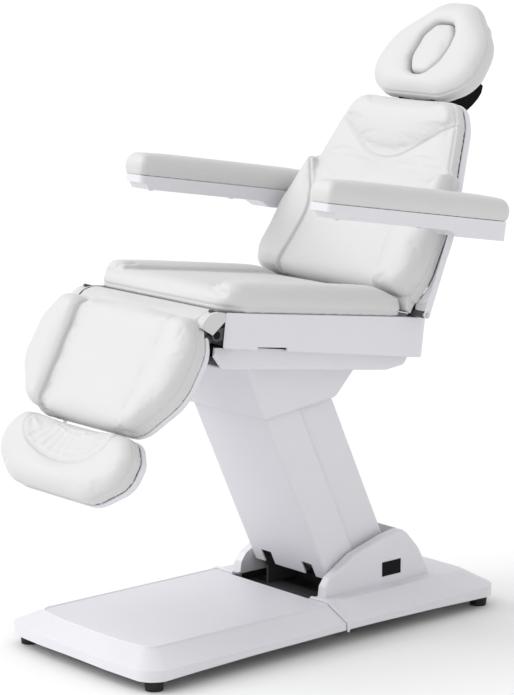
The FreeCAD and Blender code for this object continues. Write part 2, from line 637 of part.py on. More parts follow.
def seat_frame():
    rails = [tube(x, (40, 612), SEAT_RAIL_H, 2.5, "y") for x in sided(SEAT_RAIL_X)]
    cross_x = (-SEAT_RAIL_X[0], SEAT_RAIL_X[0])
    crosses = [tube(cross_x, y, SEAT_RAIL_H, 2.5, "x") for y in ((70, 95), (250, 285), (385, 415))]
    crosses.append(tube((-222, 222), (560, 590), (-84, -60), 2.5, "x"))
    rod_way = block((LEVER_X - 25, LEVER_X + 25), (200, 450), (-60, -18))
    outriggers = [tube(x, (112, 170), (-80, -50), 2.5, "x") for x in sided((200, 250))]
    hangers = [block(x, (112, 170), (-50, SEAT_RAIL_H[0])) for x in sided((204, 222))]
    hangers += [block(x, (560, 590), (-60, SEAT_RAIL_H[0])) for x in sided((200, 222))]
    wings = [block(x, (60, 84), (-46, -18)) for x in sided((SEAT_RAIL_X[1], SEAT_LEG_LUG_X[0]))]
    wings += [block(x, (560, 600), (-46, -18)) for x in sided((SEAT_RAIL_X[1], SEAT_BACK_LUG_X[0]))]
    frame = on_seat(join(rails + crosses + outriggers + hangers + wings).cut(rod_way))
    lugs = []
    for x in sided(SEAT_LEG_LUG_X):
        lugs.append(bar(LEG_HINGE, seat_point(72, -32), 14, x))
    for x in sided(SEAT_BACK_LUG_X):
        lugs.append(bar(BACK_HINGE, seat_point(580, -32), 15, x))
    for x in sided((SEAT_BACK_LUG_X[0], 292.0)):
        lugs.append(rod(LINK_PIVOT, 8.5, x))
    for pivot, middle, at in ((BACK_MOTOR_PIVOT, LEVER_X, 84), (LEG_MOTOR_PIVOT, -LEVER_X, 400)):
        for offset in (-24, 16):
            lugs.append(bar(pivot, seat_point(at, -34), 12, (middle + offset, middle + offset + 8)))
    frame = join([frame] + lugs)
    for hinge in (LEG_HINGE, BACK_HINGE):
        frame = frame.cut(rod(hinge, HINGE_PIN + PIN_FIT, (-300, 300)))
    for x in sided((240, 300)):
        frame = frame.cut(rod(LINK_PIVOT, LINK_PIN + PIN_FIT, x))
    for pivot in (BACK_MOTOR_PIVOT, LEG_MOTOR_PIVOT):
        frame = frame.cut(rod(pivot, LEVER_PIN + PIN_FIT, (-120, 120)))
    keep("seat_frame", frame)


def lift_head():
    plates = []
    roof = on_seat(block((-300, 300), (0, 700), (SEAT_RAIL_H[0], 100)))
    for plate in both(profile, PLATE_X, HEAD_PLATE):
        for pivot in (UPPER_FRONT_PIVOT, UPPER_REAR_PIVOT):
            plate = plate.cut(rod(pivot, PIN_RADIUS + PIN_FIT, (-200, 200)))
        plates.append(plate.cut(roof))
    keep("lift_head", group(plates))
    pins = [rod(pivot, PIN_RADIUS, (-PIN_HALF, PIN_HALF)) for pivot in (UPPER_FRONT_PIVOT, UPPER_REAR_PIVOT)]
    keep("upper_pivot_pins", group(pins))


def seat_fittings():
    pins = [rod(LEG_HINGE, HINGE_PIN, x) for x in sided((LEG_LUG_X[0] - 3, SEAT_LEG_LUG_X[1] + 0.4))]
    pins += [rod(BACK_HINGE, HINGE_PIN, x) for x in sided((BACK_LUG_X[0] - 3, SEAT_BACK_LUG_X[1] + 2))]
    pins += [rod(LINK_PIVOT, LINK_PIN, x) for x in sided((SEAT_BACK_LUG_X[0], LINK_X[1] + 2))]
    pins += [rod(BACK_MOTOR_PIVOT, LEVER_PIN, (LEVER_X - 27, LEVER_X + 27))]
    pins += [rod(LEG_MOTOR_PIVOT, LEVER_PIN, (-LEVER_X - 27, -LEVER_X + 27))]
    keep("seat_hinge_pins", group(pins))
    board = slab(symmetric([(254, 24, 60), (254, 540, 30)]), -BOARD_THICK, 0)
    keep("seat_board", on_seat(board))
    heads = (SEAT_RAIL_H[0] - 4, SEAT_RAIL_H[0])
    bolts = [rod_z((x, y), 7, heads) for y in (64, 300, 470) for x in (-211, 211)]
    keep("seat_bolts", on_seat(group(bolts)))


def seat_cushion():
    base = pad(symmetric([(CUSHION_HALF, -4, 64), (CUSHION_HALF, 564, 26)]),
               [(0, 6), (14, 1), (30, 2), (44, 14), (50, 34)])
    bolster = pad([(166, 12, 18), (CUSHION_HALF - 3, 2, 44), (CUSHION_HALF - 3, 562, 22), (172, 562, 22)],
                  [(8, 9), (34, 3), (54, 5), (66, 16), (70, 28)])
    soft = on_seat(join([base, bolster, mirrored(bolster)]))
    under_back = on_back(block((-400, 400), (-400, 100), (CUSHION_END - 3, 300)))
    keep("seat_cushion", soft.cut(under_back))


# Backrest
BACK_UPPER = [(287, 205, 400), (210, 492, 150), (172, 545, 46), (60, 539, 100)]
BACK_OUTLINE = symmetric([(266, 4, 26), (290, 70, 150)] + BACK_UPPER)
SHELL_OUTLINE = symmetric([(272, 20, 22), (290, 76, 150)] + BACK_UPPER)
BOLSTER_OUTLINE = [(168, 12, 16), (262, 8, 30), (288, 60, 60)]
BOLSTER_OUTLINE += [(287, 200, 120), (254, 366, 14), (138, 196, 130)]


def back_cushion():
    base = pad(BACK_OUTLINE, [(31, 6), (42, 1), (54, 4), (62, 16), (68, 40)])
    bolster = pad(BOLSTER_OUTLINE, [(40, 5), (62, 1), (92, 4), (106, 13), (113, 26)])
    bolster = tilted(bolster, -BOLSTER_TILT, 150).cut(block((-400, 400), (-50, 700), (-100, 31)))
    yoke = pad(symmetric([(40, 392, 60), (120, 420, 90), (198, 486, 20), (168, 538, 44)]),
               [(40, 8), (58, 3), (70, 6), (78, 22)])
    lumbar = pad(symmetric([(206, 8, 30), (206, 150, 60), (236, 336, 40)]),
                 [(44, 12), (78, 4), (92, 14), (99, 34), (102, 64)])
    lumbar = tilted(lumbar, -BOLSTER_TILT, 150).cut(block((-400, 400), (-50, 700), (-100, 31)))
    soft = join([base, bolster, mirrored(bolster), yoke, lumbar])
    soft = soft.cut(block((-400, 400), (-50, CUSHION_END), (0, 300)))
    keep("back_cushion", on_back(upright(soft)))


def arm_pivot_hole(x):
    """Hole for the armrest pivot, in the flat frame of the back shell."""
    turn = math.radians(BACK_LEAN)
    dy = ARM_PIVOT[0] - BACK_AT[0]
    dz = ARM_PIVOT[1] - BACK_AT[1]
    forward = -dy * math.cos(turn) + dz * math.sin(turn)
    up = dy * math.sin(turn) + dz * math.cos(turn)
    return rod((up, forward), ARM_BOSS + 0.6, x)


def back_shell():
    shell = dish(SHELL_OUTLINE, 0, 29, 4, 14)
    for x in (-HEAD_POST_X, HEAD_POST_X):
        shell = shell.cut(rod_y((x, POST_F), HEAD_SLEEVE + 0.6, (380, 600)))
    for x in sided((224, 262)) + ((26, 84),):
        shell = shell.cut(block(x, (0, 72), (-10, 24)))
    for x in sided((260, 300)):
        shell = shell.cut(arm_pivot_hole(x))
    keep("back_shell", on_back(upright(shell)))


def back_frame():
    uprights = [tube(x, (40, 500), FRAME_F, 2, "y") for x in sided((150, 180))]
    crosses = [tube((-150, 150), y, FRAME_F, 2, "x") for y in ((46, 72), (250, 280), (440, 470))]
    crosses += [tube(x, (46, 72), FRAME_F, 2, "x") for x in sided((180, 246))]
    crosses += [tube(x, (208, 242), FRAME_F, 2, "x") for x in sided((180, 256))]
    frame = join(uprights + crosses)
    for x in (-HEAD_POST_X, HEAD_POST_X):
        frame = frame.cut(rod_y((x, POST_F), HEAD_SLEEVE - 0.5, (300, 600)))
        frame = frame.fuse(ring_y((x, POST_F), HEAD_SLEEVE, HEAD_POST + RUNNING_FIT, (380, 536)))
    frame = on_back(upright(frame))
    root = point(-POST_F, 58, -BACK_LEAN, BACK_AT)
    lugs = [bar(BACK_HINGE, root, 13, x) for x in sided(BACK_LUG_X)]
    for near in (LEVER_X - 21, LEVER_X + 13):
        lugs.append(bar(BACK_HINGE, BACK_LEVER, 11, (near, near + 8)))
        lugs.append(bar(BACK_HINGE, root, 11, (near, near + 8)))
    arm_root = point(-POST_F, 226, -BACK_LEAN, BACK_AT)
    for x in sided((250, 292)):
        lugs.append(rod(ARM_PIVOT, ARM_BOSS, x))
    for x in sided((250, 262)):
        lugs.append(bar(ARM_PIVOT, arm_root, ARM_BOSS, x))
    frame = join([frame] + lugs)
    frame = frame.cut(rod(BACK_HINGE, HINGE_PIN + RUNNING_FIT, (-300, 300)))
    frame = frame.cut(rod(BACK_LEVER, LEVER_PIN + PIN_FIT, (0, 120)))
    for x in sided((250, 300)):
        frame = frame.cut(rod(ARM_PIVOT, ARM_PIN + PIN_FIT, x))
    keep("back_frame", frame)
    pins = [rod(BACK_LEVER, LEVER_PIN, (LEVER_X - 24, LEVER_X + 24))]
    pins += [rod(ARM_PIVOT, ARM_PIN, x) for x in sided((260, 299.5))]
    keep("back_pins", group(pins))


# Headrest
HEAD_OUTLINE = symmetric([(100, -127, 70), (188, -82, 76), (174, 46, 124), (52, 164, 72)])
PLUG_OUTLINE = symmetric([(28, -70, 27), (55, -26, 50), (55, 46, 48), (27, 86, 26)])
def headrest():
    cushion = pad(HEAD_OUTLINE, [(12, 16), (30, 1), (58, 3), (76, 20), (84, 44)])
    hole = pad(PLUG_OUTLINE, [(5, -2), (60, -2), (100, -6)])
    bridge_room = block((-72, 72), (-140, -116), (0, 34))
    keep("head_cushion", on_head(upright(cushion.cut(hole).cut(bridge_room))))
    plug = pad(PLUG_OUTLINE, [(16, 0), (60, 0), (74, 4), (79, 16)])
    keep("face_plug", on_head(upright(plug)))
    board = slab(symmetric([(84, -92, 50), (140, -56, 50), (132, 60, 90), (74, 140, 66)]), 3, 12)
    keep("head_board", on_head(upright(board.cut(pad(PLUG_OUTLINE, [(0, -2), (20, -2)])))))
    posts = [rod_y((x, POST_F), HEAD_POST, (386, BRIDGE_B[1])) for x in (-HEAD_POST_X, HEAD_POST_X)]
    bridge = block((-EAR_X[1], EAR_X[1]), BRIDGE_B, (-30, 26))
    posts = on_back(upright(join(posts + [bridge])))
    root = point(20, BRIDGE_B[1] + 6, -BACK_LEAN, BACK_AT)
    below = on_back(upright(block((-100, 100), (400, BRIDGE_B[0]), (-200, 200))))
    ears = [bar(root, TILT_AXIS, 11, x).cut(below) for x in sided(EAR_X)]
    posts = join([posts] + ears)
    keep("head_posts", posts.cut(rod(TILT_AXIS, TILT_PIN + PIN_FIT, (-100, 100))))
    keep("head_tilt_pin", rod(TILT_AXIS, TILT_PIN, (-CHEEK_X[1] - 2, CHEEK_X[1] + 2)))
    cheeks = both(profile, CHEEK_X, CHEEK)
    spine = block((-CHEEK_X[1], CHEEK_X[1]), (69, 74), (-72, 0))
    front_plate = block((-CHEEK_X[1], CHEEK_X[1]), (-3, 4), (-50, -8))
    bracket = on_head(join(cheeks + [spine, front_plate]))
    keep("head_bracket", bracket.cut(rod(TILT_AXIS, TILT_PIN + RUNNING_FIT, (-100, 100))))


# Armrests
def tray_plan(inset, radius):
    plan = [(ARM_INNER_X + inset, inset - 505, radius), (ARM_OUTER_X - inset, inset - 505, radius)]
    return plan + [(ARM_OUTER_X - inset, 104 - inset, radius), (ARM_INNER_X + inset, 104 - inset, radius)]


def armrest(side, name):
    def handed(shape):
        return shape if side > 0 else mirrored(shape)

    plan = [(ARM_INNER_X, -506, 17), (ARM_OUTER_X, -506, 17)]
    plan += [(ARM_OUTER_X, 104, 17), (ARM_INNER_X, 104, 17)]
    levels = [(0.5, 4), (9, 0), (36, 0), (50, 8), (56, 22)]
    soft = pad(plan, [(PAD_SEAM_H + height, inset) for height, inset in levels])
    keep("arm_pad_" + name, handed(on_arm(soft)))
    hull = [(-502, PAD_SEAM_H), (-502, 5), (-484, 4), (-474, -10), (-106, -10), (-92, -12), (-66, -24)]
    hull += [(100, -24), (101, PAD_SEAM_H)]
    hollow = [(-498, PAD_SEAM_H - 4), (-498, 9), (-482, 8), (-472, -6), (-104, -6), (-90, -8), (-64, -20)]
    hollow += [(96, -20), (97, PAD_SEAM_H - 4)]
    tray = profile(hull, (ARM_INNER_X + 3, ARM_OUTER_X - 3))
    tray = tray.makeFillet(3.0, edges_where(tray, lambda b: b.XLength < 1 and b.ZMax < PAD_SEAM_H - 1))
    tray = tray.common(slab(tray_plan(3, 14), -40, 60))
    inside = profile(hollow, (ARM_INNER_X + 7, ARM_OUTER_X - 7)).common(slab(tray_plan(7, 10), -40, 60))
    tray = tray.cut(inside)
    tray = tray.fuse(rod(FOLD_AT, 13, (ARM_INNER_X + 4, ARM_OUTER_X - 6)))
    tray = tray.cut(rod(FOLD_AT, FOLD_PIN + RUNNING_FIT, (ARM_INNER_X - 5, ARM_OUTER_X - 10)))
    screw_at = ((-440, ARM_INNER_X + 40), (-170, ARM_INNER_X + 40))
    for y, x in screw_at:
        tray = tray.fuse(rod_z((x, y), 6, (-7, PAD_SEAM_H))).cut(rod_z((x, y), 3, (-20, PAD_SEAM_H + 1)))
    keep("arm_tray_" + name, handed(on_arm(tray)))
    screws = []
    for y, x in screw_at:
        screws.append(join([rod_z((x, y), 2.9, (-10, PAD_SEAM_H)), rod_z((x, y), 6, (-13, -10))]))
    keep("arm_screws_" + name, handed(on_arm(group(screws))))
    fold = point(FOLD_AT[0], FOLD_AT[1], -ARM_RAKE, ARM_AT)
    carrier = join([bar(ARM_PIVOT, fold, 13, CARRIER_X), bar(ARM_PIVOT, LINK_TOP, 10, CARRIER_X),
                    rod(fold, FOLD_PIN, (CARRIER_X[0], ARM_OUTER_X - 12)),
                    rod(LINK_TOP, ARM_LINK_PIN, (CARRIER_X[0], LINK_X[1] + 2))])
    keep("arm_carrier_" + name, handed(carrier.cut(rod(ARM_PIVOT, ARM_PIN + RUNNING_FIT, (280, 320)))))
    link = bar(LINK_PIVOT, LINK_TOP, 8.5, LINK_X)
    link = link.cut(rod(LINK_PIVOT, LINK_PIN + RUNNING_FIT, (280, 320)))
    keep("arm_link_" + name, handed(link.cut(rod(LINK_TOP, ARM_LINK_PIN + RUNNING_FIT, (280, 320)))))


# Leg rest
LEG_OUTLINE = symmetric([(196, -292, 80), (289, -180, 120), (289, -60, 90), (236, 12, 40)])
LEG_BOLSTER = [(148, -281, 14), (197, -284, 52), (286, -180, 110)]
LEG_BOLSTER += [(286, -60, 80), (236, 10, 36), (168, 8, 30)]
LEG_PANEL = symmetric([(152, -286, 20), (172, 10, 20)])


def leg_rest():
    base = pad(LEG_OUTLINE, [(37, 4), (45, 0), (51, 10), (56, 40)])
    bolster = pad(LEG_BOLSTER, [(40, 6), (60, 0), (84, 4), (96, 14), (101, 26)])
    panel = pad(LEG_PANEL, [(40, 6), (64, 1), (74, 8), (80, 22)])
    roll = rod((0, 0), LEG_ROLL, (-228, 228)).cut(rod((0, 0), 26, (-240, 240)))
    roll = roll.common(block((-300, 300), (-6, 100), (0, 100)))
    keep("leg_cushion", on_leg(join([base, panel, bolster, mirrored(bolster), roll])))
    shell = dish(LEG_OUTLINE, 14, 36, 4, 14)
    shell = shell.cut(block((-260, 260), (-50, 40), (0, 60)))
    for x in sided((FOOT_RAIL_X[0] - 1, FOOT_RAIL_X[1] + 1)):
        shell = shell.cut(block(x, (-330, -250), (FOOT_RAIL_N[0] - 1, 60)))
    keep("leg_shell", on_leg(shell))
    guides = [tube(x, (-274, -34), FOOT_RAIL_N, 2, "y") for x in sided(FOOT_RAIL_X)]
    crosses = [tube(x, (-60, -36), FOOT_RAIL_N, 2, "x") for x in sided((FOOT_RAIL_X[1], LEG_LUG_X[1]))]
    between = (-FOOT_RAIL_X[0], FOOT_RAIL_X[0])
    crosses += [tube(between, y, FOOT_RAIL_N, 2, "x") for y in ((-60, -36), (-240, -216))]
    frame = on_leg(join(guides + crosses))
    root = point(-48, 27.5, LEG_DROP, LEG_HINGE)
    lugs = [join([bar(LEG_HINGE, root, 9, x), rod(LEG_HINGE, 14, x)]) for x in sided(LEG_LUG_X)]
    ends = [point(y, n, LEG_DROP, LEG_HINGE) for y, n in STRAP]
    for x in sided(LEG_LUG_X):
        lugs.append(bar(ends[0], ends[1], 4, x))
        lugs.append(bar(LEG_HINGE, ends[1], 8, x))
    for near in (-LEVER_X - 21, -LEVER_X + 13):
        lugs.append(bar(LEG_HINGE, LEG_LEVER, 11, (near, near + 8)))
        lugs.append(bar(LEG_HINGE, root, 9, (near, near + 8)))
    frame = join([frame] + lugs)
    frame = frame.cut(rod(LEG_HINGE, HINGE_PIN + RUNNING_FIT, (-300, 300)))
    frame = frame.cut(rod(LEG_LEVER, LEVER_PIN + PIN_FIT, (-120, 0)))
    keep("leg_frame", frame)
    keep("leg_lever_pin", rod(LEG_LEVER, LEVER_PIN, (-LEVER_X - 24, -LEVER_X + 24)))


# Foot rest
FOOT_OUTLINE = symmetric([(150, -472, 92), (238, -408, 62), (238, -344, 36), (202, -299, 42)])
def foot_rest():
    soft = pad(FOOT_OUTLINE, [(37, 5), (52, 0), (72, 1), (88, 14), (95, 40)])
    scoop = Part.makeSphere(SCOOP_RADIUS, Vector(0, -265, 57 + SCOOP_RADIUS))
    keep("foot_cushion", on_leg(soft.cut(scoop)))
    shell = dish(FOOT_OUTLINE, 12, 36, 4, 14)
    for x in sided((FOOT_RAIL_X[0] + 1, FOOT_RAIL_X[1] - 1)):
        shell = shell.cut(block(x, (-330, -280), (FOOT_RAIL_N[0] + 1, 60)))
    keep("foot_shell", on_leg(shell))
    rails = []
    for x in sided((FOOT_RAIL_X[0] + 2.4, FOOT_RAIL_X[1] - 2.4)):
        rails.append(tube(x, (-440, -130), (FOOT_RAIL_N[0] + 2.4, FOOT_RAIL_N[1] - 2.4), 2, "y"))
    rails.append(tube((2.4 - FOOT_RAIL_X[1], FOOT_RAIL_X[1] - 2.4), (-410, -380), (22, 34), 2, "x"))
    keep("foot_rails", on_leg(join(rails)))


def build():
    base_structure()
    base_covers()
    lift_column()
    actuator("lift", LOWER_FRONT_PIVOT, UPPER_REAR_PIVOT, PIN_RADIUS, PIN_RADIUS, 400.0, 250.0, 0.0, 1)
    actuator("back", BACK_MOTOR_PIVOT, BACK_LEVER, LEVER_PIN, LEVER_PIN, 436.0, 230.0, LEVER_X, -1)
    actuator("leg", LEG_MOTOR_PIVOT, LEG_LEVER, LEVER_PIN, LEVER_PIN, 330.0, 180.0, -LEVER_X, 1)
    for maker in (seat_skirt, under_cover, seat_frame, lift_head, seat_fittings, seat_cushion):
        maker()
    for maker in (back_cushion, back_shell, back_frame, headrest, leg_rest, foot_rest):
        maker()
    for side, name in ((1, "left"), (-1, "right")):
        armrest(side, name)


build()
os.makedirs("parts", exist_ok=True)
for name, shape in PIECES.items():
    placed = shape.copy()
    placed.translate(Vector(0, -ORIGIN_Y, 0))
    placed.exportStep("parts/" + name + ".step")
    print(name, len(shape.Solids), round(shape.Volume / 1000, 1), shape.isValid())
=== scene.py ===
"""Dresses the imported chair: upholstery, stitching, moulded covers, finishes, floor, light and camera."""
import bpy
import json
import math
import numpy as np
from mathutils import Matrix, Vector
from mathutils.bvhtree import BVHTree
from mathutils.kdtree import KDTree


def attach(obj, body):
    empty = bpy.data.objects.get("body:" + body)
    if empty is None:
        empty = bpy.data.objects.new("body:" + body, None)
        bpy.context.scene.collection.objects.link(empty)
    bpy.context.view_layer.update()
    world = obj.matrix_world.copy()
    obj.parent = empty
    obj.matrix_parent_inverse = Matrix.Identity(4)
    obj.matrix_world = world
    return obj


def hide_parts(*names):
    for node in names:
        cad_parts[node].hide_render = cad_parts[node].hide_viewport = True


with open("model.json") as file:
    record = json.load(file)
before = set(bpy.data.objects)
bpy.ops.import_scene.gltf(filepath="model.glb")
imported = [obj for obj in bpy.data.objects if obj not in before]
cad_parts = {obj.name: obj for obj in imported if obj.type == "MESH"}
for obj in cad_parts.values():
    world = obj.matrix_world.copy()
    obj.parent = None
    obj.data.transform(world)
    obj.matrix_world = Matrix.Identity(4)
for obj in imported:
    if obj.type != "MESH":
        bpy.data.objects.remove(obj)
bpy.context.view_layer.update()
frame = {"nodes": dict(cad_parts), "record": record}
nodes = frame["nodes"]
bodies = frame["record"]["behaviour"]["bodies"]
body_of_node = {node: body for body, members in bodies.items() for node in members}

# Places and attitudes of the sections, as in the part: side-view points from the front feet, in millimetres
ORIGIN_Y = 567.0
VOXEL = 0.0055
PRESSURE = 4.0
CLOTH_FRAMES = 20
LAP_FROM = 9.0


def section(angle, y, z, standing=False):
    """Matrix from a section's own flat frame in millimetres to the chair's frame in metres."""
    turn = Matrix.Rotation(math.radians(angle), 4, "X")
    if standing:
        turn = turn @ Matrix.Rotation(math.radians(90), 4, "X")
    place = Matrix.Translation((0, (y - ORIGIN_Y) / 1000, z / 1000))
    return place @ turn @ Matrix.Scale(0.001, 4)


SEAT = section(-7.6, 220.5, 865.0)
BACK = section(-28.0, 835.0, 790.0, True)
HEAD = section(-40.0, 1171.0, 1363.0, True)
LEG = section(58.5, 188.0, 815.0)
ARM = section(-9.4, 909.0, 1009.0)


# Small tools
def moved(matrix, points):
    turn = np.array(matrix)
    return np.asarray(points, float) @ turn[:3, :3].T + turn[:3, 3]


def read(mesh):
    places = np.empty(len(mesh.vertices) * 3)
    mesh.vertices.foreach_get("co", places)
    return places.reshape(-1, 3)


def write(mesh, places):
    mesh.vertices.foreach_set("co", np.asarray(places, float).ravel())
    mesh.update()


def facings(mesh):
    found = np.empty(len(mesh.vertices) * 3)
    mesh.vertex_normals.foreach_get("vector", found)
    return found.reshape(-1, 3)


def only(obj):
    """Selects one object and nothing else."""
    bpy.ops.object.select_all(action="DESELECT")
    obj.select_set(True)
    bpy.context.view_layer.objects.active = obj


def finish_with(obj, kind, **settings):
    """Adds a modifier with its settings and applies it."""
    modifier = obj.modifiers.new(kind.title(), kind)
    for name, value in settings.items():
        setattr(modifier, name, value)
    only(obj)
    bpy.ops.object.modifier_apply(modifier=modifier.name)


def copied(node, name):
    """A merged copy of a CAD node's mesh as an object of its own."""
    mesh = nodes[node].data.copy()
    obj = bpy.data.objects.new(name, mesh)
    bpy.context.scene.collection.objects.link(obj)
    mesh.materials.clear()
    only(obj)
    bpy.ops.mesh.customdata_custom_splitnormals_clear()
    bpy.ops.object.mode_set(mode="EDIT")
    bpy.ops.mesh.select_all(action="SELECT")
    bpy.ops.mesh.remove_doubles(threshold=0.00002)
    bpy.ops.object.mode_set(mode="OBJECT")
    return obj


def spline(points, count):
    """Smooth line through a few points, evenly sampled."""
    points = np.asarray(points, float)
    padded = np.vstack([2 * points[0] - points[1], points, 2 * points[-1] - points[-2]])
    line = []
    for index in range(len(points) - 1):
        a, b, c, d = padded[index:index + 4]
        for t in np.linspace(0, 1, 24, endpoint=False):
            line.append(0.5 * (2 * b + (c - a) * t + (2 * a - 5 * b + 4 * c - d) * t ** 2
                               + (3 * b - a - 3 * c + d) * t ** 3))
    line.append(points[-1])
    return resampled(np.array(line), count)


def resampled(line, count):
    steps = np.linalg.norm(np.diff(line, axis=0), axis=1)
    travel = np.concatenate([[0], np.cumsum(steps)])
    even = np.linspace(0, travel[-1], count)
    return np.stack([np.interp(even, travel, line[:, axis]) for axis in range(line.shape[1])], axis=1)


def mirrored(line):
    return line * np.array([-1] + [1] * (line.shape[1] - 1))


def beside(line, distance):
    """The line moved sideways in its own plane."""
    along = np.gradient(line[:, :2], axis=0)
    along /= np.linalg.norm(along, axis=1)[:, None]
    return line[:, :2] + distance * np.stack([-along[:, 1], along[:, 0]], axis=1)


# Finishes
class Paint:
    """A socket of a material's nodes, with ordinary arithmetic."""

    def __init__(self, tree, socket=None):
        self.tree = tree
        self.socket = socket

    def node(self, kind, settings=None, sockets=None, out=0):
        made = self.tree.nodes.new(kind)
        for name, value in (settings or {}).items():
            if name == "stops":
                ramp = made.color_ramp.elements
                while len(ramp) < len(value):
                    ramp.new(0.5)
                for stop, (place, shade) in zip(ramp, value):
                    stop.position = place
                    stop.color = (*shade, 1) if isinstance(shade, tuple) else (shade, shade, shade, 1)
            else:
                setattr(made, name, value)
        for key, value in (sockets or {}).items():
            if isinstance(value, Paint):
                self.tree.links.new(value.socket, made.inputs[key])
            else:
                made.inputs[key].default_value = value
        return Paint(self.tree, made.outputs[out])

    def sum(self, operation, first, second):
        return self.node("ShaderNodeMath", {"operation": operation}, {0: first, 1: second})

    def __add__(self, other):
        return self.sum("ADD", self, other)

    def __radd__(self, other):
        return self.sum("ADD", other, self)

    def __sub__(self, other):
        return self.sum("SUBTRACT", self, other)

    def __rsub__(self, other):
        return self.sum("SUBTRACT", other, self)

    def __mul__(self, other):
        return self.sum("MULTIPLY", self, other)

    def __rmul__(self, other):
        return self.sum("MULTIPLY", other, self)


def new_finish(name, **constants):
    """A material with its shader's constants set, and a Paint to draw its varying parts with."""
    material = bpy.data.materials.new(name)
    material.use_nodes = True
    tree = material.node_tree
    shader = tree.nodes["Principled BSDF"]
    for key, value in constants.items():
        shader.inputs[key.replace("_", " ").title().replace("Ior", "IOR")].default_value = value
    paint = Paint(tree)
    place = paint.node("ShaderNodeTexCoord", out="Object")
    return material, shader, paint, place


def noise(paint, place, scale, detail=3.0, roughness=0.55):
    return paint.node("ShaderNodeTexNoise", None,
                      {"Vector": place, "Scale": scale, "Detail": detail, "Roughness": roughness})


def blended(paint, amount, low, high):
    """Colour between two, by an amount from 0 to 1."""
    return paint.node("ShaderNodeMix", {"data_type": "RGBA"},
                      {0: amount, 6: (*low, 1), 7: (*high, 1)}, out=2)


def plug_in(paint, shader, colour, roughness, height=None, distance=0.001, strength=1.0):
    """Joins a finish's varying colour, roughness and relief to its shader."""
    links = paint.tree.links
    links.new(colour.socket, shader.inputs["Base Color"])
    links.new(roughness.socket, shader.inputs["Roughness"])
    if height:
        bump = paint.node("ShaderNodeBump", None,
                          {"Height": height, "Distance": distance, "Strength": strength})
        links.new(bump.socket, shader.inputs["Normal"])


def faux_leather():
    material, shader, paint, place = new_finish("faux_leather", sheen_weight=0.12, sheen_roughness=0.4,
                                                specular_ior_level=0.42)
    broad = noise(paint, place, 9.0, 4.0)
    fine = noise(paint, place, 420.0, 2.0)
    pebbles = paint.node("ShaderNodeTexVoronoi", {"feature": "DISTANCE_TO_EDGE"},
                         {"Vector": place, "Scale": 640.0, "Randomness": 1.0})
    creases = paint.node("ShaderNodeTexVoronoi", {"feature": "DISTANCE_TO_EDGE"},
                         {"Vector": place, "Scale": 150.0, "Randomness": 1.0})
    grain = paint.node("ShaderNodeValToRGB", {"stops": [(0.0, 0.0), (0.22, 1.0)]}, {"Fac": pebbles})
    crease = paint.node("ShaderNodeValToRGB", {"stops": [(0.0, 0.0), (0.06, 1.0)]}, {"Fac": creases})
    colour = blended(paint, broad * 0.7 + fine * 0.3, (0.60, 0.60, 0.605), (0.645, 0.645, 0.64))
    roughness = 0.40 + 0.16 * broad - 0.06 * grain
    height = grain * 0.55 + crease * 0.15 + fine * 0.30
    plug_in(paint, shader, colour, roughness, height, 0.00025, 0.55)
    return material


def thread():
    material, shader, paint, place = new_finish("stitching_thread", sheen_weight=0.3)
    twist = paint.node("ShaderNodeTexWave", {"wave_type": "BANDS", "bands_direction": "DIAGONAL"},
                       {"Vector": place, "Scale": 900.0, "Distortion": 1.0})
    colour = blended(paint, twist, (0.66, 0.66, 0.66), (0.80, 0.80, 0.79))
    plug_in(paint, shader, colour, 0.55 + 0.2 * twist, twist, 0.0002, 0.6)
    return material


def satin_plastic():
    material, shader, paint, place = new_finish("satin_white_plastic", specular_ior_level=0.5)
    broad = noise(paint, place, 3.5, 3.0)
    spark = noise(paint, place, 1500.0, 2.0, 0.7)
    flow = noise(paint, place, 60.0, 2.0)
    colour = blended(paint, broad, (0.685, 0.68, 0.72), (0.735, 0.73, 0.767))
    roughness = 0.30 + 0.10 * flow + 0.08 * spark
    plug_in(paint, shader, colour, roughness, spark * 0.8 + flow * 0.2, 0.0001, 0.35)
    return material


def dark_coat(name, low, high, base_roughness, scale, shine=0.5):
    """Powder coat or enamel: orange-peel skin over a plain colour."""
    material, shader, paint, place = new_finish(name, specular_ior_level=shine)
    peel = noise(paint, place, scale, 3.0)
    broad = noise(paint, place, 12.0, 4.0)
    colour = blended(paint, broad, low, high)
    plug_in(paint, shader, colour, base_roughness + 0.18 * peel, peel, 0.0002, 0.5)
    return material


def black_rubber():
    material, shader, paint, place = new_finish("black_rubber", specular_ior_level=0.3)
    dust = noise(paint, place, 70.0, 5.0, 0.7)
    pores = noise(paint, place, 900.0, 2.0)
    colour = blended(paint, dust, (0.008, 0.008, 0.009), (0.03, 0.03, 0.03))
    plug_in(paint, shader, colour, 0.62 + 0.25 * dust, pores, 0.0002, 0.6)
    return material


def plated_steel():
    material, shader, paint, place = new_finish("plated_steel", metallic=1.0)
    turn = paint.node("ShaderNodeMapping", None, {"Vector": place, "Scale": (40.0, 900.0, 900.0)})
    brush = noise(paint, turn, 1.0, 4.0)
    haze = noise(paint, place, 35.0, 3.0)
    colour = blended(paint, haze, (0.48, 0.49, 0.50), (0.62, 0.63, 0.64))
    plug_in(paint, shader, colour, 0.22 + 0.22 * brush, brush, 0.00005, 0.4)
    return material


def sintered_bronze():
    material, shader, paint, place = new_finish("sintered_bronze", metallic=1.0)
    grains = noise(paint, place, 1400.0, 3.0)
    colour = blended(paint, grains, (0.36, 0.23, 0.10), (0.56, 0.40, 0.18))
    plug_in(paint, shader, colour, 0.34 + 0.2 * grains, grains, 0.0001, 0.5)
    return material


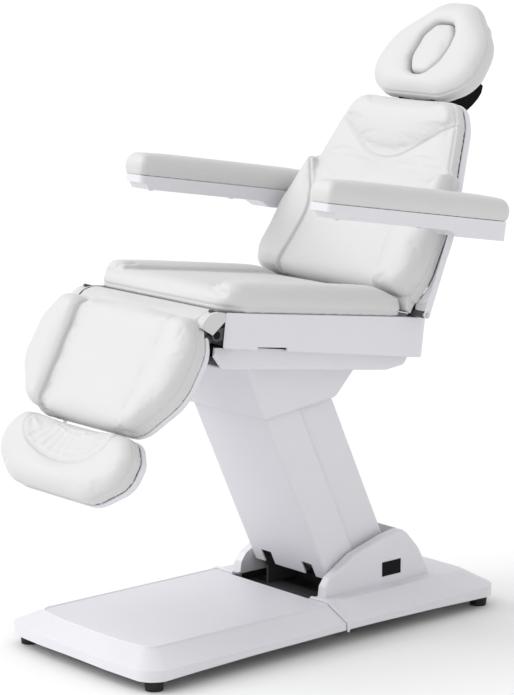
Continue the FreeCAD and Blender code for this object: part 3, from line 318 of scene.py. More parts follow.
finish = {
    "upholstery": faux_leather(),
    "white_moulding": satin_plastic(),
    "black_rubber": black_rubber(),
    "black_plastic": dark_coat("black_plastic", (0.005, 0.005, 0.006), (0.012, 0.012, 0.013),
                               0.55, 900.0, 0.08),
    "black_bracket": dark_coat("black_powder_coat", (0.004, 0.004, 0.0045), (0.008, 0.008, 0.009),
                               0.60, 700.0, 0.05),
    "dark_frame": dark_coat("dark_powder_coat", (0.045, 0.045, 0.048), (0.075, 0.075, 0.08), 0.45, 700.0),
    "motor_grey": dark_coat("grey_enamel", (0.13, 0.13, 0.14), (0.18, 0.18, 0.19), 0.35, 500.0),
    "steel": plated_steel(),
    "bronze": sintered_bronze(),
}
stitching = thread()
slot_of_node = {part["node"]: part["material_slot"] for part in frame["record"]["subparts"]}
for node, obj in nodes.items():
    obj.data.materials.clear()
    obj.data.materials.append(finish[slot_of_node[node]])


def settle(piece, body, slot, *replaced):
    """Gives a finished piece its body and hides the CAD nodes that it stands for."""
    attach(piece, body)
    if replaced:
        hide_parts(*replaced)


# Upholstery
def weigh(obj, name, weights):
    """Vertex group from a weight for each point."""
    group = obj.vertex_groups.new(name=name)
    for index in np.nonzero(weights > 0.01)[0]:
        group.add([int(index)], float(weights[index]), "REPLACE")


def start_cushion(node, name, matrix, back_level, inset, smoothing, shape=None):
    """Even, smaller and softened copy of a cushion's solid; its underside keeps the solid's size."""
    obj = copied(node, name)
    finish_with(obj, "REMESH", mode="VOXEL", voxel_size=VOXEL, adaptivity=0.0)
    flat = moved(matrix.inverted(), read(obj.data))
    weigh(obj, "free", np.clip((flat[:, 2] - back_level - 3) / 16, 0, 1))
    finish_with(obj, "DISPLACE", strength=-inset / 1000, mid_level=0.0, vertex_group="free")
    finish_with(obj, "SMOOTH", factor=0.5, iterations=smoothing, vertex_group="free")
    obj.vertex_groups.clear()
    if shape:
        write(obj.data, moved(matrix, shape(moved(matrix.inverted(), read(obj.data)))))
    return obj


def distance_to(lines, places):
    """Distance of each place from the nearest of some lines, in millimetres."""
    points = np.vstack([np.pad(line, ((0, 0), (0, 3 - line.shape[1]))) for line in lines])
    tree = KDTree(len(points))
    for index, point in enumerate(points):
        tree.insert(point, index)
    tree.balance()
    return np.array([tree.find(place)[2] for place in places])


def hold(obj, flat, seams, back_level):
    """Marks what the filling can't push out: the underside, and the sewn lines of the top."""
    held = np.clip((back_level + 5 - flat[:, 2]) / 5, 0, 1)
    if seams:
        gap = distance_to(seams, flat * np.array([1, 1, 0]))
        sewn = np.clip((11 - gap) / 6, 0, 1)
        held = np.maximum(held, np.where(flat[:, 2] > back_level + 18, sewn, 0))
    weigh(obj, "held", held)


def fill(obj):
    """Filling that presses the cover out."""
    cloth = obj.modifiers.new("Filling", "CLOTH")
    settings = cloth.settings
    settings.quality = 4
    settings.mass = 0.3
    settings.tension_stiffness = 14
    settings.compression_stiffness = 14
    settings.shear_stiffness = 6
    settings.bending_stiffness = 0.6
    settings.use_pressure = True
    settings.uniform_pressure_force = PRESSURE
    settings.vertex_group_mass = "held"
    settings.effector_weights.gravity = 0
    cloth.collision_settings.use_collision = False
    cloth.point_cache.frame_end = CLOTH_FRAMES


def capped(obj, start, matrix, top_limit, side_limit):
    """Keeps the filled cover within reach of where it started."""
    now = read(obj.data)
    flat_facing = facings(obj.data) @ np.array(matrix.to_3x3().normalized())
    limit = np.where(flat_facing[:, 2] > 0.4, top_limit, side_limit) / 1000
    travel = now - start
    length = np.linalg.norm(travel, axis=1)
    share = np.minimum(1, limit / np.maximum(length, 1e-9))
    write(obj.data, start + travel * share[:, None])


def lapped(obj, matrix, back_level, outward, downward):
    """Draws a cover's lower edge out and down over the rim that it lies on."""
    flat = moved(matrix.inverted(), read(obj.data))
    facing = facings(obj.data) @ np.array(matrix.to_3x3().normalized())
    share = np.clip((back_level + LAP_FROM - flat[:, 2]) / LAP_FROM, 0, 1) ** 2
    share *= np.clip(2 * (1 - np.abs(facing[:, 2])), 0, 1)
    level = facing * np.array([1, 1, 0])
    level /= np.maximum(np.linalg.norm(level, axis=1), 1e-6)[:, None]
    flat += share[:, None] * (outward * level - downward * np.array([0, 0, 1]))
    write(obj.data, moved(matrix, flat))


def surface(obj):
    mesh = obj.data
    return BVHTree.FromPolygons([v.co for v in mesh.vertices], [p.vertices[:] for p in mesh.polygons])


def draped(tree, matrix, line):
    """Lays a flat line on a cushion from above: places and facings in the chair's frame."""
    down = -(matrix.to_3x3() @ Vector((0, 0, 1))).normalized()
    places = []
    ups = []
    for x, y in line[:, :2]:
        hit, facing, _, _ = tree.ray_cast(matrix @ Vector((x, y, 260)), down)
        if hit is not None:
            places.append(hit[:])
            ups.append(facing[:])
    return np.array(places), np.array(ups)


def level_lines(obj, matrix, level, wanted):
    """Lines where a cushion's side crosses a height of its own frame, kept where wanted(x, y) holds."""
    mesh = obj.data
    places = read(mesh)
    flat = moved(matrix.inverted(), places)
    ends = np.empty(len(mesh.edges) * 2, int)
    mesh.edges.foreach_get("vertices", ends)
    ends = ends.reshape(-1, 2)
    above = flat[:, 2] > level
    crossed = above[ends[:, 0]] != above[ends[:, 1]]
    loop_edges = np.empty(len(mesh.loops), int)
    mesh.loops.foreach_get("edge_index", loop_edges)
    faces = loop_edges.reshape(-1, 4)
    cut = crossed[faces]
    neighbours = {}
    for face, hits in zip(faces[cut.sum(axis=1) == 2], cut[cut.sum(axis=1) == 2]):
        first, second = (int(edge) for edge in face[hits])
        neighbours.setdefault(first, []).append(second)
        neighbours.setdefault(second, []).append(first)

    def crossing(edge):
        low, high = ends[edge]
        share = (level - flat[low, 2]) / (flat[high, 2] - flat[low, 2])
        return flat[low] + share * (flat[high] - flat[low])

    lines = []
    seen = set()
    for start in neighbours:
        if start in seen:
            continue
        run = [start]
        seen.add(start)
        while True:
            onward = [edge for edge in neighbours[run[-1]] if edge not in seen]
            if not onward:
                break
            run.append(onward[0])
            seen.add(onward[0])
        points = np.array([crossing(edge) for edge in run])
        if len(points) < 12:
            continue
        points = np.vstack([points, points[:1]])
        length = np.linalg.norm(np.diff(points, axis=0), axis=1).sum()
        points = resampled(points, max(12, int(length / 2)))
        for _ in range(6):
            points[1:-1] = (points[:-2] + 2 * points[1:-1] + points[2:]) / 4
        good = wanted(points[:, 0], points[:, 1])
        piece = []
        for point, fine in zip(points, good):
            if fine:
                piece.append(point)
            elif piece:
                lines.append(np.array(piece))
                piece = []
        if piece:
            lines.append(np.array(piece))
    return [line for line in lines if len(line) > 10]


def press_in(obj, lines, depth, width, pucker=0.0):
    """Presses sewn lines into a cover: a narrow groove, puffed shoulders and small puckers along it."""
    if not lines:
        return
    places = read(obj.data)
    facing = facings(obj.data)
    reach = 5 * width / 1000
    tree = KDTree(sum(len(line) for line in lines))
    travel = []
    for line in lines:
        steps = np.linalg.norm(np.diff(line, axis=0), axis=1)
        for point, run in zip(line, np.concatenate([[0], np.cumsum(steps)])):
            tree.insert(point, len(travel))
            travel.append(run * 1000)
    tree.balance()
    low = np.vstack(lines).min(axis=0) - reach
    high = np.vstack(lines).max(axis=0) + reach
    close = np.nonzero(np.all((places > low) & (places < high), axis=1))[0]
    for index in close:
        _, nearest, gap = tree.find(places[index])
        if gap < reach:
            gap *= 1000
            groove = depth * math.exp(-(gap / width) ** 2)
            shoulder = 0.22 * depth * math.exp(-((gap - 2.4 * width) / (1.2 * width)) ** 2)
            run = travel[nearest]
            ripple = math.sin(run * 0.42) + 0.6 * math.sin(run * 0.23 + 1.3)
            fold = pucker * ripple * math.exp(-((gap - 2.0 * width) / (1.6 * width)) ** 2)
            places[index] += facing[index] * (shoulder + fold - groove) / 1000
    write(obj.data, places)


def one_stitch():
    """A single sewn stitch: a short rounded length of thread, along Z."""
    bpy.ops.object.select_all(action="DESELECT")
    bpy.ops.mesh.primitive_cylinder_add(vertices=6, radius=0.00055, depth=0.0034)
    obj = bpy.context.object
    bpy.ops.object.mode_set(mode="EDIT")
    bpy.ops.mesh.select_all(action="SELECT")
    bpy.ops.mesh.bevel(offset=0.00022, segments=1)
    bpy.ops.object.mode_set(mode="OBJECT")
    places = read(obj.data)
    places[:, 0] -= 0.00035 * (places[:, 2] / 0.0017) ** 2
    faces = [polygon.vertices[:] for polygon in obj.data.polygons]
    bpy.data.objects.remove(obj)
    return places, faces


stitch_places, stitch_faces = one_stitch()


def sew(name, rows, body):
    """Rows of stitches, each row given as places and facings along a seam."""
    places = []
    faces = []
    for line, facing in rows:
        if len(line) < 4:
            continue
        steps = np.linalg.norm(np.diff(line, axis=0), axis=1)
        travel = np.concatenate([[0], np.cumsum(steps)])
        count = int(travel[-1] / 0.0048)
        if count < 2:
            continue
        at = np.linspace(0, travel[-1], count)
        spots = np.stack([np.interp(at, travel, line[:, axis]) for axis in range(3)], axis=1)
        ups = np.stack([np.interp(at, travel, facing[:, axis]) for axis in range(3)], axis=1)
        ups /= np.linalg.norm(ups, axis=1)[:, None]
        along = np.gradient(spots, axis=0)
        along /= np.linalg.norm(along, axis=1)[:, None]
        across = np.cross(along, ups)
        across /= np.linalg.norm(across, axis=1)[:, None]
        ups = np.cross(across, along)
        for spot, up, side, way in zip(spots, ups, across, along):
            first = len(places)
            turned = stitch_places @ np.stack([up, side, way])
            places.extend(turned + spot + up * 0.00015)
            faces.extend([tuple(first + index for index in face) for face in stitch_faces])
    mesh = bpy.data.meshes.new(name)
    mesh.from_pydata([tuple(place) for place in places], [], faces)
    obj = bpy.data.objects.new(name, mesh)
    bpy.context.scene.collection.objects.link(obj)
    only(obj)
    bpy.ops.object.mode_set(mode="EDIT")
    bpy.ops.mesh.select_all(action="SELECT")
    bpy.ops.mesh.normals_make_consistent(inside=False)
    bpy.ops.object.mode_set(mode="OBJECT")
    bpy.ops.object.shade_smooth()
    mesh.materials.append(stitching)
    settle(obj, body, "upholstery")
    return obj


def nearest_rows(tree, matrix, lines):
    """Flat-frame lines on a cushion's side, set onto the surface with its facings."""
    rows = []
    for line in lines:
        found = [tree.find_nearest(Vector(place)) for place in moved(matrix, line)]
        rows.append((np.array([item[0][:] for item in found]), np.array([item[1][:] for item in found])))
    return rows


# Seams of the covers, in each section's flat frame: (x, y) of the sewn lines on top
def symmetric(points, count):
    """Smooth line through points of one side, ending on the middle, and their mirror images."""
    other = [(-x, y) for x, y in reversed(points[:-1])]
    return spline(points + other, count)


YOKE = symmetric([(222, 487), (190, 467), (146, 436), (96, 402), (62, 382), (32, 372), (0, 369)], 260)
BACK_PANEL = spline([(177, 16), (170, 70), (162, 130), (158, 190),
                     (172, 235), (196, 275), (224, 318), (246, 350)], 190)
SEAT_PANEL = spline([(172, 30), (173, 180), (175, 320), (178, 550)], 200)
SEAT_TUCK = spline([(184, 62), (181, 46), (184, 30), (194, 18)], 40)
LEG_PANEL = spline([(170, 0), (165, -80), (159, -170), (153, -276)], 140)
SCOOP_SIDE = [(158, -302), (160, -330), (146, -354), (118, -374), (78, -388), (40, -395), (0, -397)]
SCOOP = symmetric(SCOOP_SIDE, 230)
FOOT_RING_N = 91.0
FOOT_RING_LOW_N = 60.0
FOOT_RING_END_Y = -452.0
FOOT_RING_HALF = 172.0
TIP_F = 97.0
TIP_FROM_B, TIP_TO_B = 230.0, 430.0
TIP_FROM_X = 185.0
HOLE_Y = 8.0
HOLE_SEAM = (55.0, 78.0)
HOLE_EDGE = (57.0, 80.0)
HOLE_ROLL = 26.0
HOLE_DROP = 10.0


def ramp(values, start, width):
    """Rises from 0 to 1 over a width."""
    return np.clip((values - start) / width, 0, 1)


def raised_ring(flat):
    """Raises the foot rest's rim up to the edge of its scoop."""
    across = np.array(SCOOP_SIDE[:0:-1])
    x = np.abs(flat[:, 0])
    edge = np.interp(x, across[:, 0], across[:, 1])
    beyond = ramp(edge, flat[:, 1], 16) * ramp(flat[:, 2], FOOT_RING_LOW_N, 12)
    beyond *= ramp(flat[:, 1], FOOT_RING_END_Y, 12) * ramp(FOOT_RING_HALF, x, 14)
    lift = np.maximum(0, FOOT_RING_N - flat[:, 2]) * beyond
    return flat + lift[:, None] * np.array([0, 0, 1])


def slimmer_tips(flat):
    """Lets the backrest's side bolsters run out lower towards their upper tips."""
    share = ramp(flat[:, 1], TIP_FROM_B, 100) * ramp(np.abs(flat[:, 0]), TIP_FROM_X, 30)
    share *= ramp(TIP_TO_B, flat[:, 1], 40)
    drop = np.maximum(0, flat[:, 2] - TIP_F) * share
    return flat - drop[:, None] * np.array([0, 0, 1])


def oval(grow, count=180):
    """Outline of the headrest's face hole."""
    turn = np.linspace(0, 2 * math.pi, count)
    half_x, half_y = HOLE_SEAM
    return np.stack([(half_x + grow) * np.cos(turn), HOLE_Y + (half_y + grow) * np.sin(turn)], axis=1)


def rolled_hole(flat):
    """Rolls the edge of the headrest's face hole down towards the plug."""
    turn = np.arctan2(flat[:, 1] - HOLE_Y, flat[:, 0])
    edge = 1 / np.hypot(np.cos(turn) / HOLE_EDGE[0], np.sin(turn) / HOLE_EDGE[1])
    gap = np.hypot(flat[:, 0], flat[:, 1] - HOLE_Y) - edge
    drop = HOLE_DROP * np.clip(1 - gap / HOLE_ROLL, 0, 1) ** 2 * ramp(flat[:, 2], 34, 36)
    return flat - drop[:, None] * np.array([0, 0, 1])


ARM_PAD = dict(matrix=ARM, back=24, inset=0.6, smoothing=4, top=4, side=2, filling=0.9,
               sewn=[], lap=(2.5, 5.0))
CUSHIONS = {
    "seat_cushion": dict(body="seat", matrix=SEAT, back=0, inset=1.0, smoothing=6, top=13, side=5,
                         filling=0.75, sewn=[SEAT_PANEL, mirrored(SEAT_PANEL)], lap=(4.0, 3.0)),
    "back_cushion": dict(body="backrest", matrix=BACK, back=31, inset=1.0, smoothing=6, top=12, side=4,
                         filling=0.75, sewn=[YOKE, BACK_PANEL, mirrored(BACK_PANEL)],
                         shape=slimmer_tips, lap=(4.5, 7.0)),
    "leg_cushion": dict(body="legrest", matrix=LEG, back=37, inset=1.0, smoothing=6, top=9, side=4,
                        filling=0.8, sewn=[LEG_PANEL, mirrored(LEG_PANEL)], lap=(4.5, 7.0)),
    "foot_cushion": dict(body="footrest", matrix=LEG, back=37, inset=0.8, smoothing=5, top=8, side=3,
                         filling=0.8, sewn=[SCOOP], shape=raised_ring, lap=(4.5, 7.0)),
    "head_cushion": dict(body="headrest", matrix=HEAD, back=12, inset=0.5, smoothing=6, top=7, side=6,
                         filling=0.85, sewn=[oval(7)], shape=rolled_hole, lap=(0.0, 0.0)),
    "face_plug": dict(body="face_plug", matrix=HEAD, back=16, inset=0.3, smoothing=4, top=5, side=1,
                      filling=0.85, sewn=[], lap=(0.0, 0.0)),
    "arm_pad_left": dict(body="armrest_left", **ARM_PAD),
    "arm_pad_right": dict(body="armrest_right", **ARM_PAD),
}


def make_cushions():
    """Fills all covers together, then caps, divides and settles each."""
    made = {}
    starts = {}
    for node, facts in CUSHIONS.items():
        obj = start_cushion(node, node + "_cover", facts["matrix"], facts["back"], facts["inset"],
                            facts["smoothing"], facts.get("shape"))
        starts[node] = read(obj.data)
        flat = moved(facts["matrix"].inverted(), starts[node])
        hold(obj, flat, facts["sewn"], facts["back"])
        fill(obj)
        made[node] = obj
    for step in range(1, CLOTH_FRAMES + 1):
        bpy.context.scene.frame_set(step)
    for node, facts in CUSHIONS.items():
        obj = made[node]
        only(obj)
        bpy.ops.object.modifier_apply(modifier="Filling")
        capped(obj, starts[node], facts["matrix"], facts["top"], facts["side"])
        obj.vertex_groups.clear()
        lapped(obj, facts["matrix"], facts["back"], *facts["lap"])
        finish_with(obj, "SUBSURF", levels=1, render_levels=1)
        bpy.ops.object.shade_smooth()
        obj.data.materials.append(finish["upholstery"])
        settle(obj, facts["body"], "upholstery", node)
    bpy.context.scene.frame_set(1)
    return made


covers = make_cushions()
TOP_PUCKER = 0.16
SIDE_PUCKER = 0.14


def sew_cushion(node, top_seams, level_seams, folds):
    """Presses a cushion's seams and folds in, then sews the rows of stitches beside them."""
    obj = covers[node]
    matrix = CUSHIONS[node]["matrix"]
    tree = surface(obj)
    for line, depth, width in folds:
        press_in(obj, [draped(tree, matrix, line)[0]], depth, width)
    for line, depth, width, _ in top_seams:
        press_in(obj, [draped(tree, matrix, line)[0]], depth, width, TOP_PUCKER)
    for level, wanted, depth, width, _ in level_seams:
        lines = [moved(matrix, line) for line in level_lines(obj, matrix, level, wanted)]
        press_in(obj, lines, depth, width, SIDE_PUCKER)
    tree = surface(obj)
    rows = []
    for line, _, _, offsets in top_seams:
        for offset in offsets:
            rows.append(draped(tree, matrix, beside(line, offset)))
    for level, wanted, _, _, offsets in level_seams:
        for offset in offsets:
            rows += nearest_rows(tree, matrix, level_lines(obj, matrix, level + offset, wanted))
    if rows:
        sew(node + "_stitching", rows, CUSHIONS[node]["body"])


def everywhere(x, y):
    return np.ones(len(x), bool)


def wrinkle(start, end, bow):
    """A short fold between two points, bowed sideways."""
    start = np.array(start, float)
    end = np.array(end, float)
    aside = np.array([start[1] - end[1], end[0] - start[0]])
    middle = (start + end) / 2 + bow * aside / np.linalg.norm(end - start)
    return spline([start, middle, end], 40)


def both_sides(lines):
    return lines + [(mirrored(line), depth, width) for line, depth, width in lines]


seat_folds = both_sides([(SEAT_TUCK, 3.2, 5.0), (wrinkle((150, 60), (178, 92), 3), 0.9, 7.0)])
sew_cushion("seat_cushion",
            [(SEAT_PANEL, 3.0, 3.6, (5.0,)), (mirrored(SEAT_PANEL), 3.0, 3.6, (-5.0,))],
            [(11.0, everywhere, 1.6, 2.6, ())], seat_folds)

bolster_tip = [((238, 346), (184, 322), 5), ((232, 328), (186, 296), 6), ((222, 306), (182, 268), 5),
               ((206, 282), (176, 236), 4)]
back_folds = both_sides([(wrinkle(start, end, bow), 1.1, 6.0) for start, end, bow in bolster_tip])
sew_cushion("back_cushion",
            [(YOKE, 2.6, 3.2, (-4.5, 4.5)), (BACK_PANEL, 3.6, 3.2, (-9.0,)),
             (mirrored(BACK_PANEL), 3.6, 3.2, (9.0,))],
            [(58.0, lambda x, y: y > 24, 1.8, 2.4, (3.2, -4.0))], back_folds)

leg_folds = both_sides([(wrinkle((232, -20), (262, -46), 3), 0.7, 6.0),
                        (wrinkle((240, -34), (272, -62), 3), 0.7, 6.0),
                        (wrinkle((246, -52), (276, -80), 3), 0.6, 6.0)])
sew_cushion("leg_cushion",
            [(LEG_PANEL, 3.4, 3.4, ()), (mirrored(LEG_PANEL), 3.4, 3.4, ())],
            [(66.0, lambda x, y: np.abs(x) > 214 - np.clip(-y - 200, 0, 90) * 0.9, 1.8, 2.6, (4.2, -4.2))],
            leg_folds)

pleats = [(spline([(x * 0.62, -304), (x * 0.80, -340), (x, -384 + abs(x) * 0.22)], 50), 1.5, 6.0)
          for x in (-122, -94, -66, -38, -12, 14, 40, 68, 96, 124)]
sew_cushion("foot_cushion", [(SCOOP, 2.6, 3.4, (-4.5,))],
            [(68.0, lambda x, y: y < -312, 1.6, 2.4, (4.0, -4.0))], pleats)

sew_cushion("head_cushion", [],
            [(56.0, lambda x, y: (np.abs(x) > 70) | (y > 112) | (y < -96), 1.6, 2.4, (3.6, -3.6))], [])


# Moulded covers and shells: the CAD shapes with softened edges
def sharp_edges(obj, least, most, wanted):
    """Selects edges by the angle between their faces and by a test on their middles."""
    mesh = obj.data
    faces_at = {}
    for polygon in mesh.polygons:
        for key in polygon.edge_keys:
            faces_at.setdefault(key, []).append(polygon.normal.copy())
    for item in (mesh.polygons, mesh.edges, mesh.vertices):
        item.foreach_set("select", [False] * len(item))
    for edge in mesh.edges:
        normals = faces_at.get(edge.key, [])
        if len(normals) == 2:
            angle = math.degrees(normals[0].angle(normals[1], 0))
            middle = (mesh.vertices[edge.vertices[0]].co + mesh.vertices[edge.vertices[1]].co) / 2
            edge.select = least < angle < most and wanted(middle)


def rounded(obj, radius, least, most, wanted):
    """Rounds chosen edges by a larger radius than the rest."""
    sharp_edges(obj, least, most, wanted)
    only(obj)
    bpy.ops.object.mode_set(mode="EDIT")
    bpy.ops.mesh.select_mode(type="EDGE")
    bpy.ops.mesh.bevel(offset=radius / 1000, segments=4, affect="EDGES", clamp_overlap=True)
    bpy.ops.object.mode_set(mode="OBJECT")


def flat_copy(node, name):
    """A copy of a CAD node with its flat faces made whole."""
    obj = copied(node, name)
    bpy.ops.object.mode_set(mode="EDIT")
    bpy.ops.mesh.select_all(action="SELECT")
    bpy.ops.mesh.dissolve_limited(angle_limit=math.radians(0.6))
    bpy.ops.object.mode_set(mode="OBJECT")
    return obj


def softened(node, radius):
    """A moulded piece: the CAD shape with rounded edges."""
    obj = flat_copy(node, node + "_moulding")
    if node == "base_front_cover":
        opened_joint(obj)
    if node == "base_rear_cover":
        rounded(obj, RIM_ROUNDING, 20, 80, base_rim)
    only(obj)
    bpy.ops.object.shade_smooth_by_angle(angle=SMOOTH_BELOW)
    finish_with(obj, "BEVEL", width=radius / 1000, segments=3, limit_method="ANGLE", angle_limit=SMOOTH_BELOW,
                use_clamp_overlap=True, miter_outer="MITER_ARC", harden_normals=True)
    if node in FLAT_FACED:
        bpy.ops.object.shade_smooth_by_angle(angle=FLAT_SMOOTH_BELOW)
        finish_with(obj, "WEIGHTED_NORMAL", mode="FACE_AREA", weight=100, keep_sharp=True)
    slot = slot_of_node[node]
    obj.data.materials.append(finish[slot])
    settle(obj, body_of_node[node], slot, node)
    return obj


def base_crease(middle):
    return abs(middle.z - BASE_TOP_Z) < 0.0035 and (abs(middle.x) > 0.150 or middle.y < -0.4)


def base_rim(middle):
    return abs(middle.z - BASE_EDGE_Z) < 0.004


def opened_joint(obj):
    """Sets the front cover's rear edge back a little, so that the joint of the covers reads as a line."""
    places = read(obj.data)
    places[places[:, 1] > places[:, 1].max() - 0.0006, 1] -= JOINT_OPENED
    write(obj.data, places)


SOFTENED = {
    "base_front_cover": 1.6, "base_rear_cover": 1.6, "column_front_shell": 1.0, "column_rear_shell": 1.0,
    "seat_skirt": 1.2, "under_cover": 1.2, "arm_tray_left": 1.2, "arm_tray_right": 1.2,
    "rating_plate": 0.5, "head_bracket": 1.0, "arm_link_left": 0.8, "arm_link_right": 0.8,
}
FLAT_FACED = ("base_front_cover", "base_rear_cover")
BASE_TOP_Z = 0.090
BASE_EDGE_Z = 0.056
RIM_ROUNDING = 5.0
SMOOTH_BELOW = math.radians(32)
FLAT_SMOOTH_BELOW = math.radians(14)
JOINT_OPENED = 0.0018
CREASE_BEAD = 0.0032
CREASE_SUNK = 0.0014
JOINT_BEAD = 0.0034
JOINT_BEAD_BACK = 0.0042
JOINT_BEAD_SUNK = 0.0006
JOINT_BEAD_X = (0.151, 0.288)
JOINT_BEAD_FOOT_Z = 0.034
mouldings = {node: softened(node, radius) for node, radius in SOFTENED.items()}


def bead(name, path, radius, body):
    """Round bead of moulded plastic along a path."""
    curve = bpy.data.curves.new(name, "CURVE")
    curve.dimensions = "3D"
    curve.bevel_depth = radius
    curve.bevel_resolution = 4
    curve.use_fill_caps = True
    run = curve.splines.new("POLY")
    run.points.add(len(path) - 1)
    for point, place in zip(run.points, path):
        point.co = (*place, 1)
    obj = bpy.data.objects.new(name, curve)
    bpy.context.scene.collection.objects.link(obj)
    only(obj)
    bpy.ops.object.convert(target="MESH")
    obj = bpy.context.object
    bpy.ops.object.shade_smooth_by_angle(angle=math.radians(40))
    obj.data.materials.append(finish["white_moulding"])
    settle(obj, body, "white_moulding")


def edge_run(obj):
    """The longest line of selected edges, as places."""
    links = {}
    for edge in obj.data.edges:
        if edge.select:
            first, second = edge.vertices
            links.setdefault(first, []).append(second)
            links.setdefault(second, []).append(first)
    longest = []
    for start in [vertex for vertex, others in links.items() if len(others) == 1]:
        run = [start]
        while True:
            onward = [vertex for vertex in links[run[-1]] if vertex not in run]
            if not onward:
                break
            run.append(onward[0])
        longest = max(longest, run, key=len)
    return np.array([obj.data.vertices[index].co[:] for index in longest])


def crease_bead():
    """Fine raised line where the front cover's top turns into its slopes."""
    plain = flat_copy("base_front_cover", "plain_cover")
    sharp_edges(plain, 12, 60, base_crease)
    path = edge_run(plain) - np.array([0, 0, CREASE_SUNK])
    bpy.data.objects.remove(plain)
    bead("cover_crease_bead", path, CREASE_BEAD, body_of_node["base_front_cover"])


def joint_bead(name, side):
    """Half-round raised edge of the rear cover along the joint, from the slot down to the rim."""
    rear = mouldings["base_rear_cover"]
    tree = surface(rear)
    y = read(rear.data)[:, 1].min() + JOINT_BEAD_BACK
    path = []
    for x in np.linspace(*JOINT_BEAD_X, 48):
        hit = tree.ray_cast(Vector((side * x, y, 0.3)), Vector((0, 0, -1)))[0]
        if hit is not None and hit.z > 0.045:
            path.append((hit.x, hit.y, hit.z - JOINT_BEAD_SUNK))
    path.append((path[-1][0] + side * 0.0005, y, JOINT_BEAD_FOOT_Z))
    bead(name, path, JOINT_BEAD, body_of_node["base_rear_cover"])


crease_bead()
joint_bead("cover_joint_bead_left", 1)
joint_bead("cover_joint_bead_right", -1)


# Upholstered ends that hide the hinges: the leg rest's roll and the backrest's lower corners
ROLL_RADIUS = 0.0545
ROLL_X = (0.228, 0.2537)
ROLL_WALL = 0.0015
ROLL_CHORD = ((0.036, -0.004), (0.001, 0.011))
ROLL_LOW_Y = -0.006
ROLL_STRIP = 28.0
CORNER_X = (198.0, 263.0)
CORNER_SIDE_VIEW = [(26, 32), (26, 68), (8, 61), (-8, 53), (-12, 34)]
BACK_HINGE = (0.0174, 0.0013)
EAR_RADIUS = 0.024
EAR_X = (0.2568, 0.2628)
PIN_CAP_RADIUS = 0.0092
PIN_CAP_X = (0.2508, 0.2524)


def round_piece(name, vertices, radius, span, place=(0, 0)):
    """Round blank along X at a place of a section, to be shaped further."""
    bpy.ops.object.select_all(action="DESELECT")
    bpy.ops.mesh.primitive_cylinder_add(vertices=vertices, radius=radius, depth=abs(span[1] - span[0]),
                                        location=(sum(span) / 2, *place), rotation=(0, math.pi / 2, 0))
    obj = bpy.context.object
    obj.name = name
    bpy.ops.object.transform_apply(location=True, rotation=True, scale=True)
    return obj


def cut_off(place, towards):
    """Cuts everything off the selected mesh beyond a plane along X."""
    bpy.ops.mesh.select_all(action="SELECT")
    bpy.ops.mesh.bisect(plane_co=(0, *place), plane_no=(0, *towards), clear_outer=True)


def upholstered_end(obj, body, edge):
    """Rounds a small end piece and settles it."""
    only(obj)
    bpy.ops.object.mode_set(mode="EDIT")
    bpy.ops.mesh.select_all(action="SELECT")
    bpy.ops.mesh.normals_make_consistent(inside=False)
    bpy.ops.object.mode_set(mode="OBJECT")
    finish_with(obj, "BEVEL", width=edge, segments=4, limit_method="ANGLE", angle_limit=math.radians(25))
    bpy.ops.object.shade_smooth_by_angle(angle=math.radians(40))
    obj.data.materials.append(finish["upholstery"])
    settle(obj, body, "upholstery")


def roll_end(name, side):
    """Thin upholstered cover over one end of the leg rest's roll."""
    obj = round_piece(name, 96, ROLL_RADIUS, ROLL_X)
    (low_y, low_n), (high_y, high_n) = ROLL_CHORD
    bpy.ops.object.mode_set(mode="EDIT")
    cut_off(ROLL_CHORD[0], (low_n - high_n, high_y - low_y))
    cut_off((ROLL_LOW_Y, 0), (-1, 0))
    bpy.ops.object.mode_set(mode="OBJECT")
    for polygon in obj.data.polygons:
        angle = math.degrees(math.atan2(polygon.center.z, polygon.center.y))
        open_strip = abs(polygon.normal.x) < 0.5 and angle < ROLL_STRIP
        polygon.select = open_strip or polygon.normal.x < -0.5
    bpy.ops.object.mode_set(mode="EDIT")
    bpy.ops.mesh.select_mode(type="FACE")
    bpy.ops.mesh.delete(type="FACE")
    bpy.ops.object.mode_set(mode="OBJECT")
    write(obj.data, moved(LEG, read(obj.data) * np.array([side, 1, 1]) * 1000))
    if side < 0:
        obj.data.flip_normals()
    finish_with(obj, "SOLIDIFY", thickness=ROLL_WALL, offset=-1.0)
    upholstered_end(obj, "legrest", 0.0006)


def back_corner(name, side):
    """Upholstered fill between the backrest's lower end and the seat."""
    bpy.ops.object.select_all(action="DESELECT")
    bpy.ops.mesh.primitive_cylinder_add(vertices=len(CORNER_SIDE_VIEW), radius=1.0, depth=1.0)
    obj = bpy.context.object
    obj.name = name
    ring = read(obj.data)
    outer = ring[:, 2] > 0
    share = np.arctan2(ring[:, 0], ring[:, 1]) % (2 * math.pi) / (2 * math.pi)
    corner = np.round(share * len(CORNER_SIDE_VIEW)).astype(int) % len(CORNER_SIDE_VIEW)
    profile = np.array(CORNER_SIDE_VIEW)[corner]
    x = side * np.where(outer, CORNER_X[1], CORNER_X[0])
    write(obj.data, moved(BACK, np.column_stack([x, profile])))
    upholstered_end(obj, "backrest", 0.004)


def hinge_ear(name, side):
    """Upholstered round end over the backrest's hinge."""
    obj = round_piece(name, 64, EAR_RADIUS, [side * x for x in EAR_X], BACK_HINGE)
    write(obj.data, moved(BACK, read(obj.data) * 1000))
    upholstered_end(obj, "backrest", 0.002)


def pin_cap(name, side):
    """Black cap over the visible end of the leg rest's hinge pin."""
    obj = round_piece(name, 48, PIN_CAP_RADIUS, [side * x for x in PIN_CAP_X])
    write(obj.data, moved(LEG, read(obj.data) * 1000))
    finish_with(obj, "BEVEL", width=0.0005, segments=3, limit_method="ANGLE", angle_limit=math.radians(40))
    bpy.ops.object.shade_smooth_by_angle(angle=math.radians(40))
    obj.data.materials.append(finish["black_plastic"])
    settle(obj, "seat", "black_plastic")


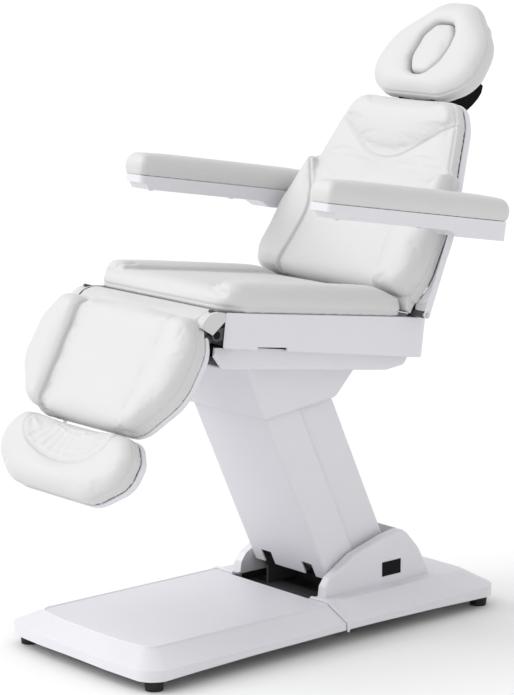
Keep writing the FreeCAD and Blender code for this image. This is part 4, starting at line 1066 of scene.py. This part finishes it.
for side, where in ((1, "left"), (-1, "right")):
    roll_end("leg_roll_end_" + where, side)
    pin_cap("leg_pin_cap_" + where, side)
    back_corner("back_corner_" + where, side)
    hinge_ear("back_hinge_ear_" + where, side)


# Floor, light and camera, the camera fitted to the photo
CAMERA_LENS = 137.43
CAMERA_AZIMUTH = math.radians(49.107)
CAMERA_DROP = math.radians(10.887)
CAMERA_PLACE = (4.8639, -4.2517, 1.9453)
FLOOR_SIZE = 160.0
WORLD_STRENGTH = 0.85
KEY_TOWARDS = (-0.50, -0.58, 0.64)
KEY_SPREAD = 50.0
KEY_STRENGTH = 1.6


def pale_floor():
    bpy.ops.object.select_all(action="DESELECT")
    bpy.ops.mesh.primitive_plane_add(size=FLOOR_SIZE)
    floor = bpy.context.object
    floor.name = "floor"
    material, shader, paint, place = new_finish("pale_floor", specular_ior_level=0.2)
    cloud = noise(paint, place, 1.5, 3.0)
    plug_in(paint, shader, blended(paint, cloud, (0.90, 0.90, 0.90), (0.92, 0.92, 0.92)), 0.6 + 0.2 * cloud)
    floor.data.materials.append(material)


def wide_sun(name, towards, spread, strength):
    """Even light from one side of the studio, as from a very large soft box."""
    data = bpy.data.lights.new(name, "SUN")
    data.angle = math.radians(spread)
    data.energy = strength
    lamp = bpy.data.objects.new(name, data)
    lamp.rotation_euler = Vector(towards).to_track_quat("Z", "Y").to_euler()
    bpy.context.scene.collection.objects.link(lamp)


def studio():
    world = bpy.data.worlds.new("studio")
    world.use_nodes = True
    world.node_tree.nodes["Background"].inputs["Color"].default_value = (1.0, 1.0, 1.0, 1)
    world.node_tree.nodes["Background"].inputs["Strength"].default_value = WORLD_STRENGTH
    bpy.context.scene.world = world
    wide_sun("key", KEY_TOWARDS, KEY_SPREAD, KEY_STRENGTH)
    bpy.context.scene.view_settings.view_transform = "Standard"


def photo_camera():
    data = bpy.data.cameras.new("camera")
    data.lens = CAMERA_LENS
    data.sensor_width = 36.0
    camera = bpy.data.objects.new("camera", data)
    level = math.cos(CAMERA_DROP)
    back = Vector((math.sin(CAMERA_AZIMUTH) * level, -math.cos(CAMERA_AZIMUTH) * level,
                   math.sin(CAMERA_DROP)))
    camera.location = CAMERA_PLACE
    camera.rotation_euler = back.to_track_quat("Z", "Y").to_euler()
    bpy.context.scene.collection.objects.link(camera)
    bpy.context.scene.camera = camera


pale_floor()
studio()
photo_camera()
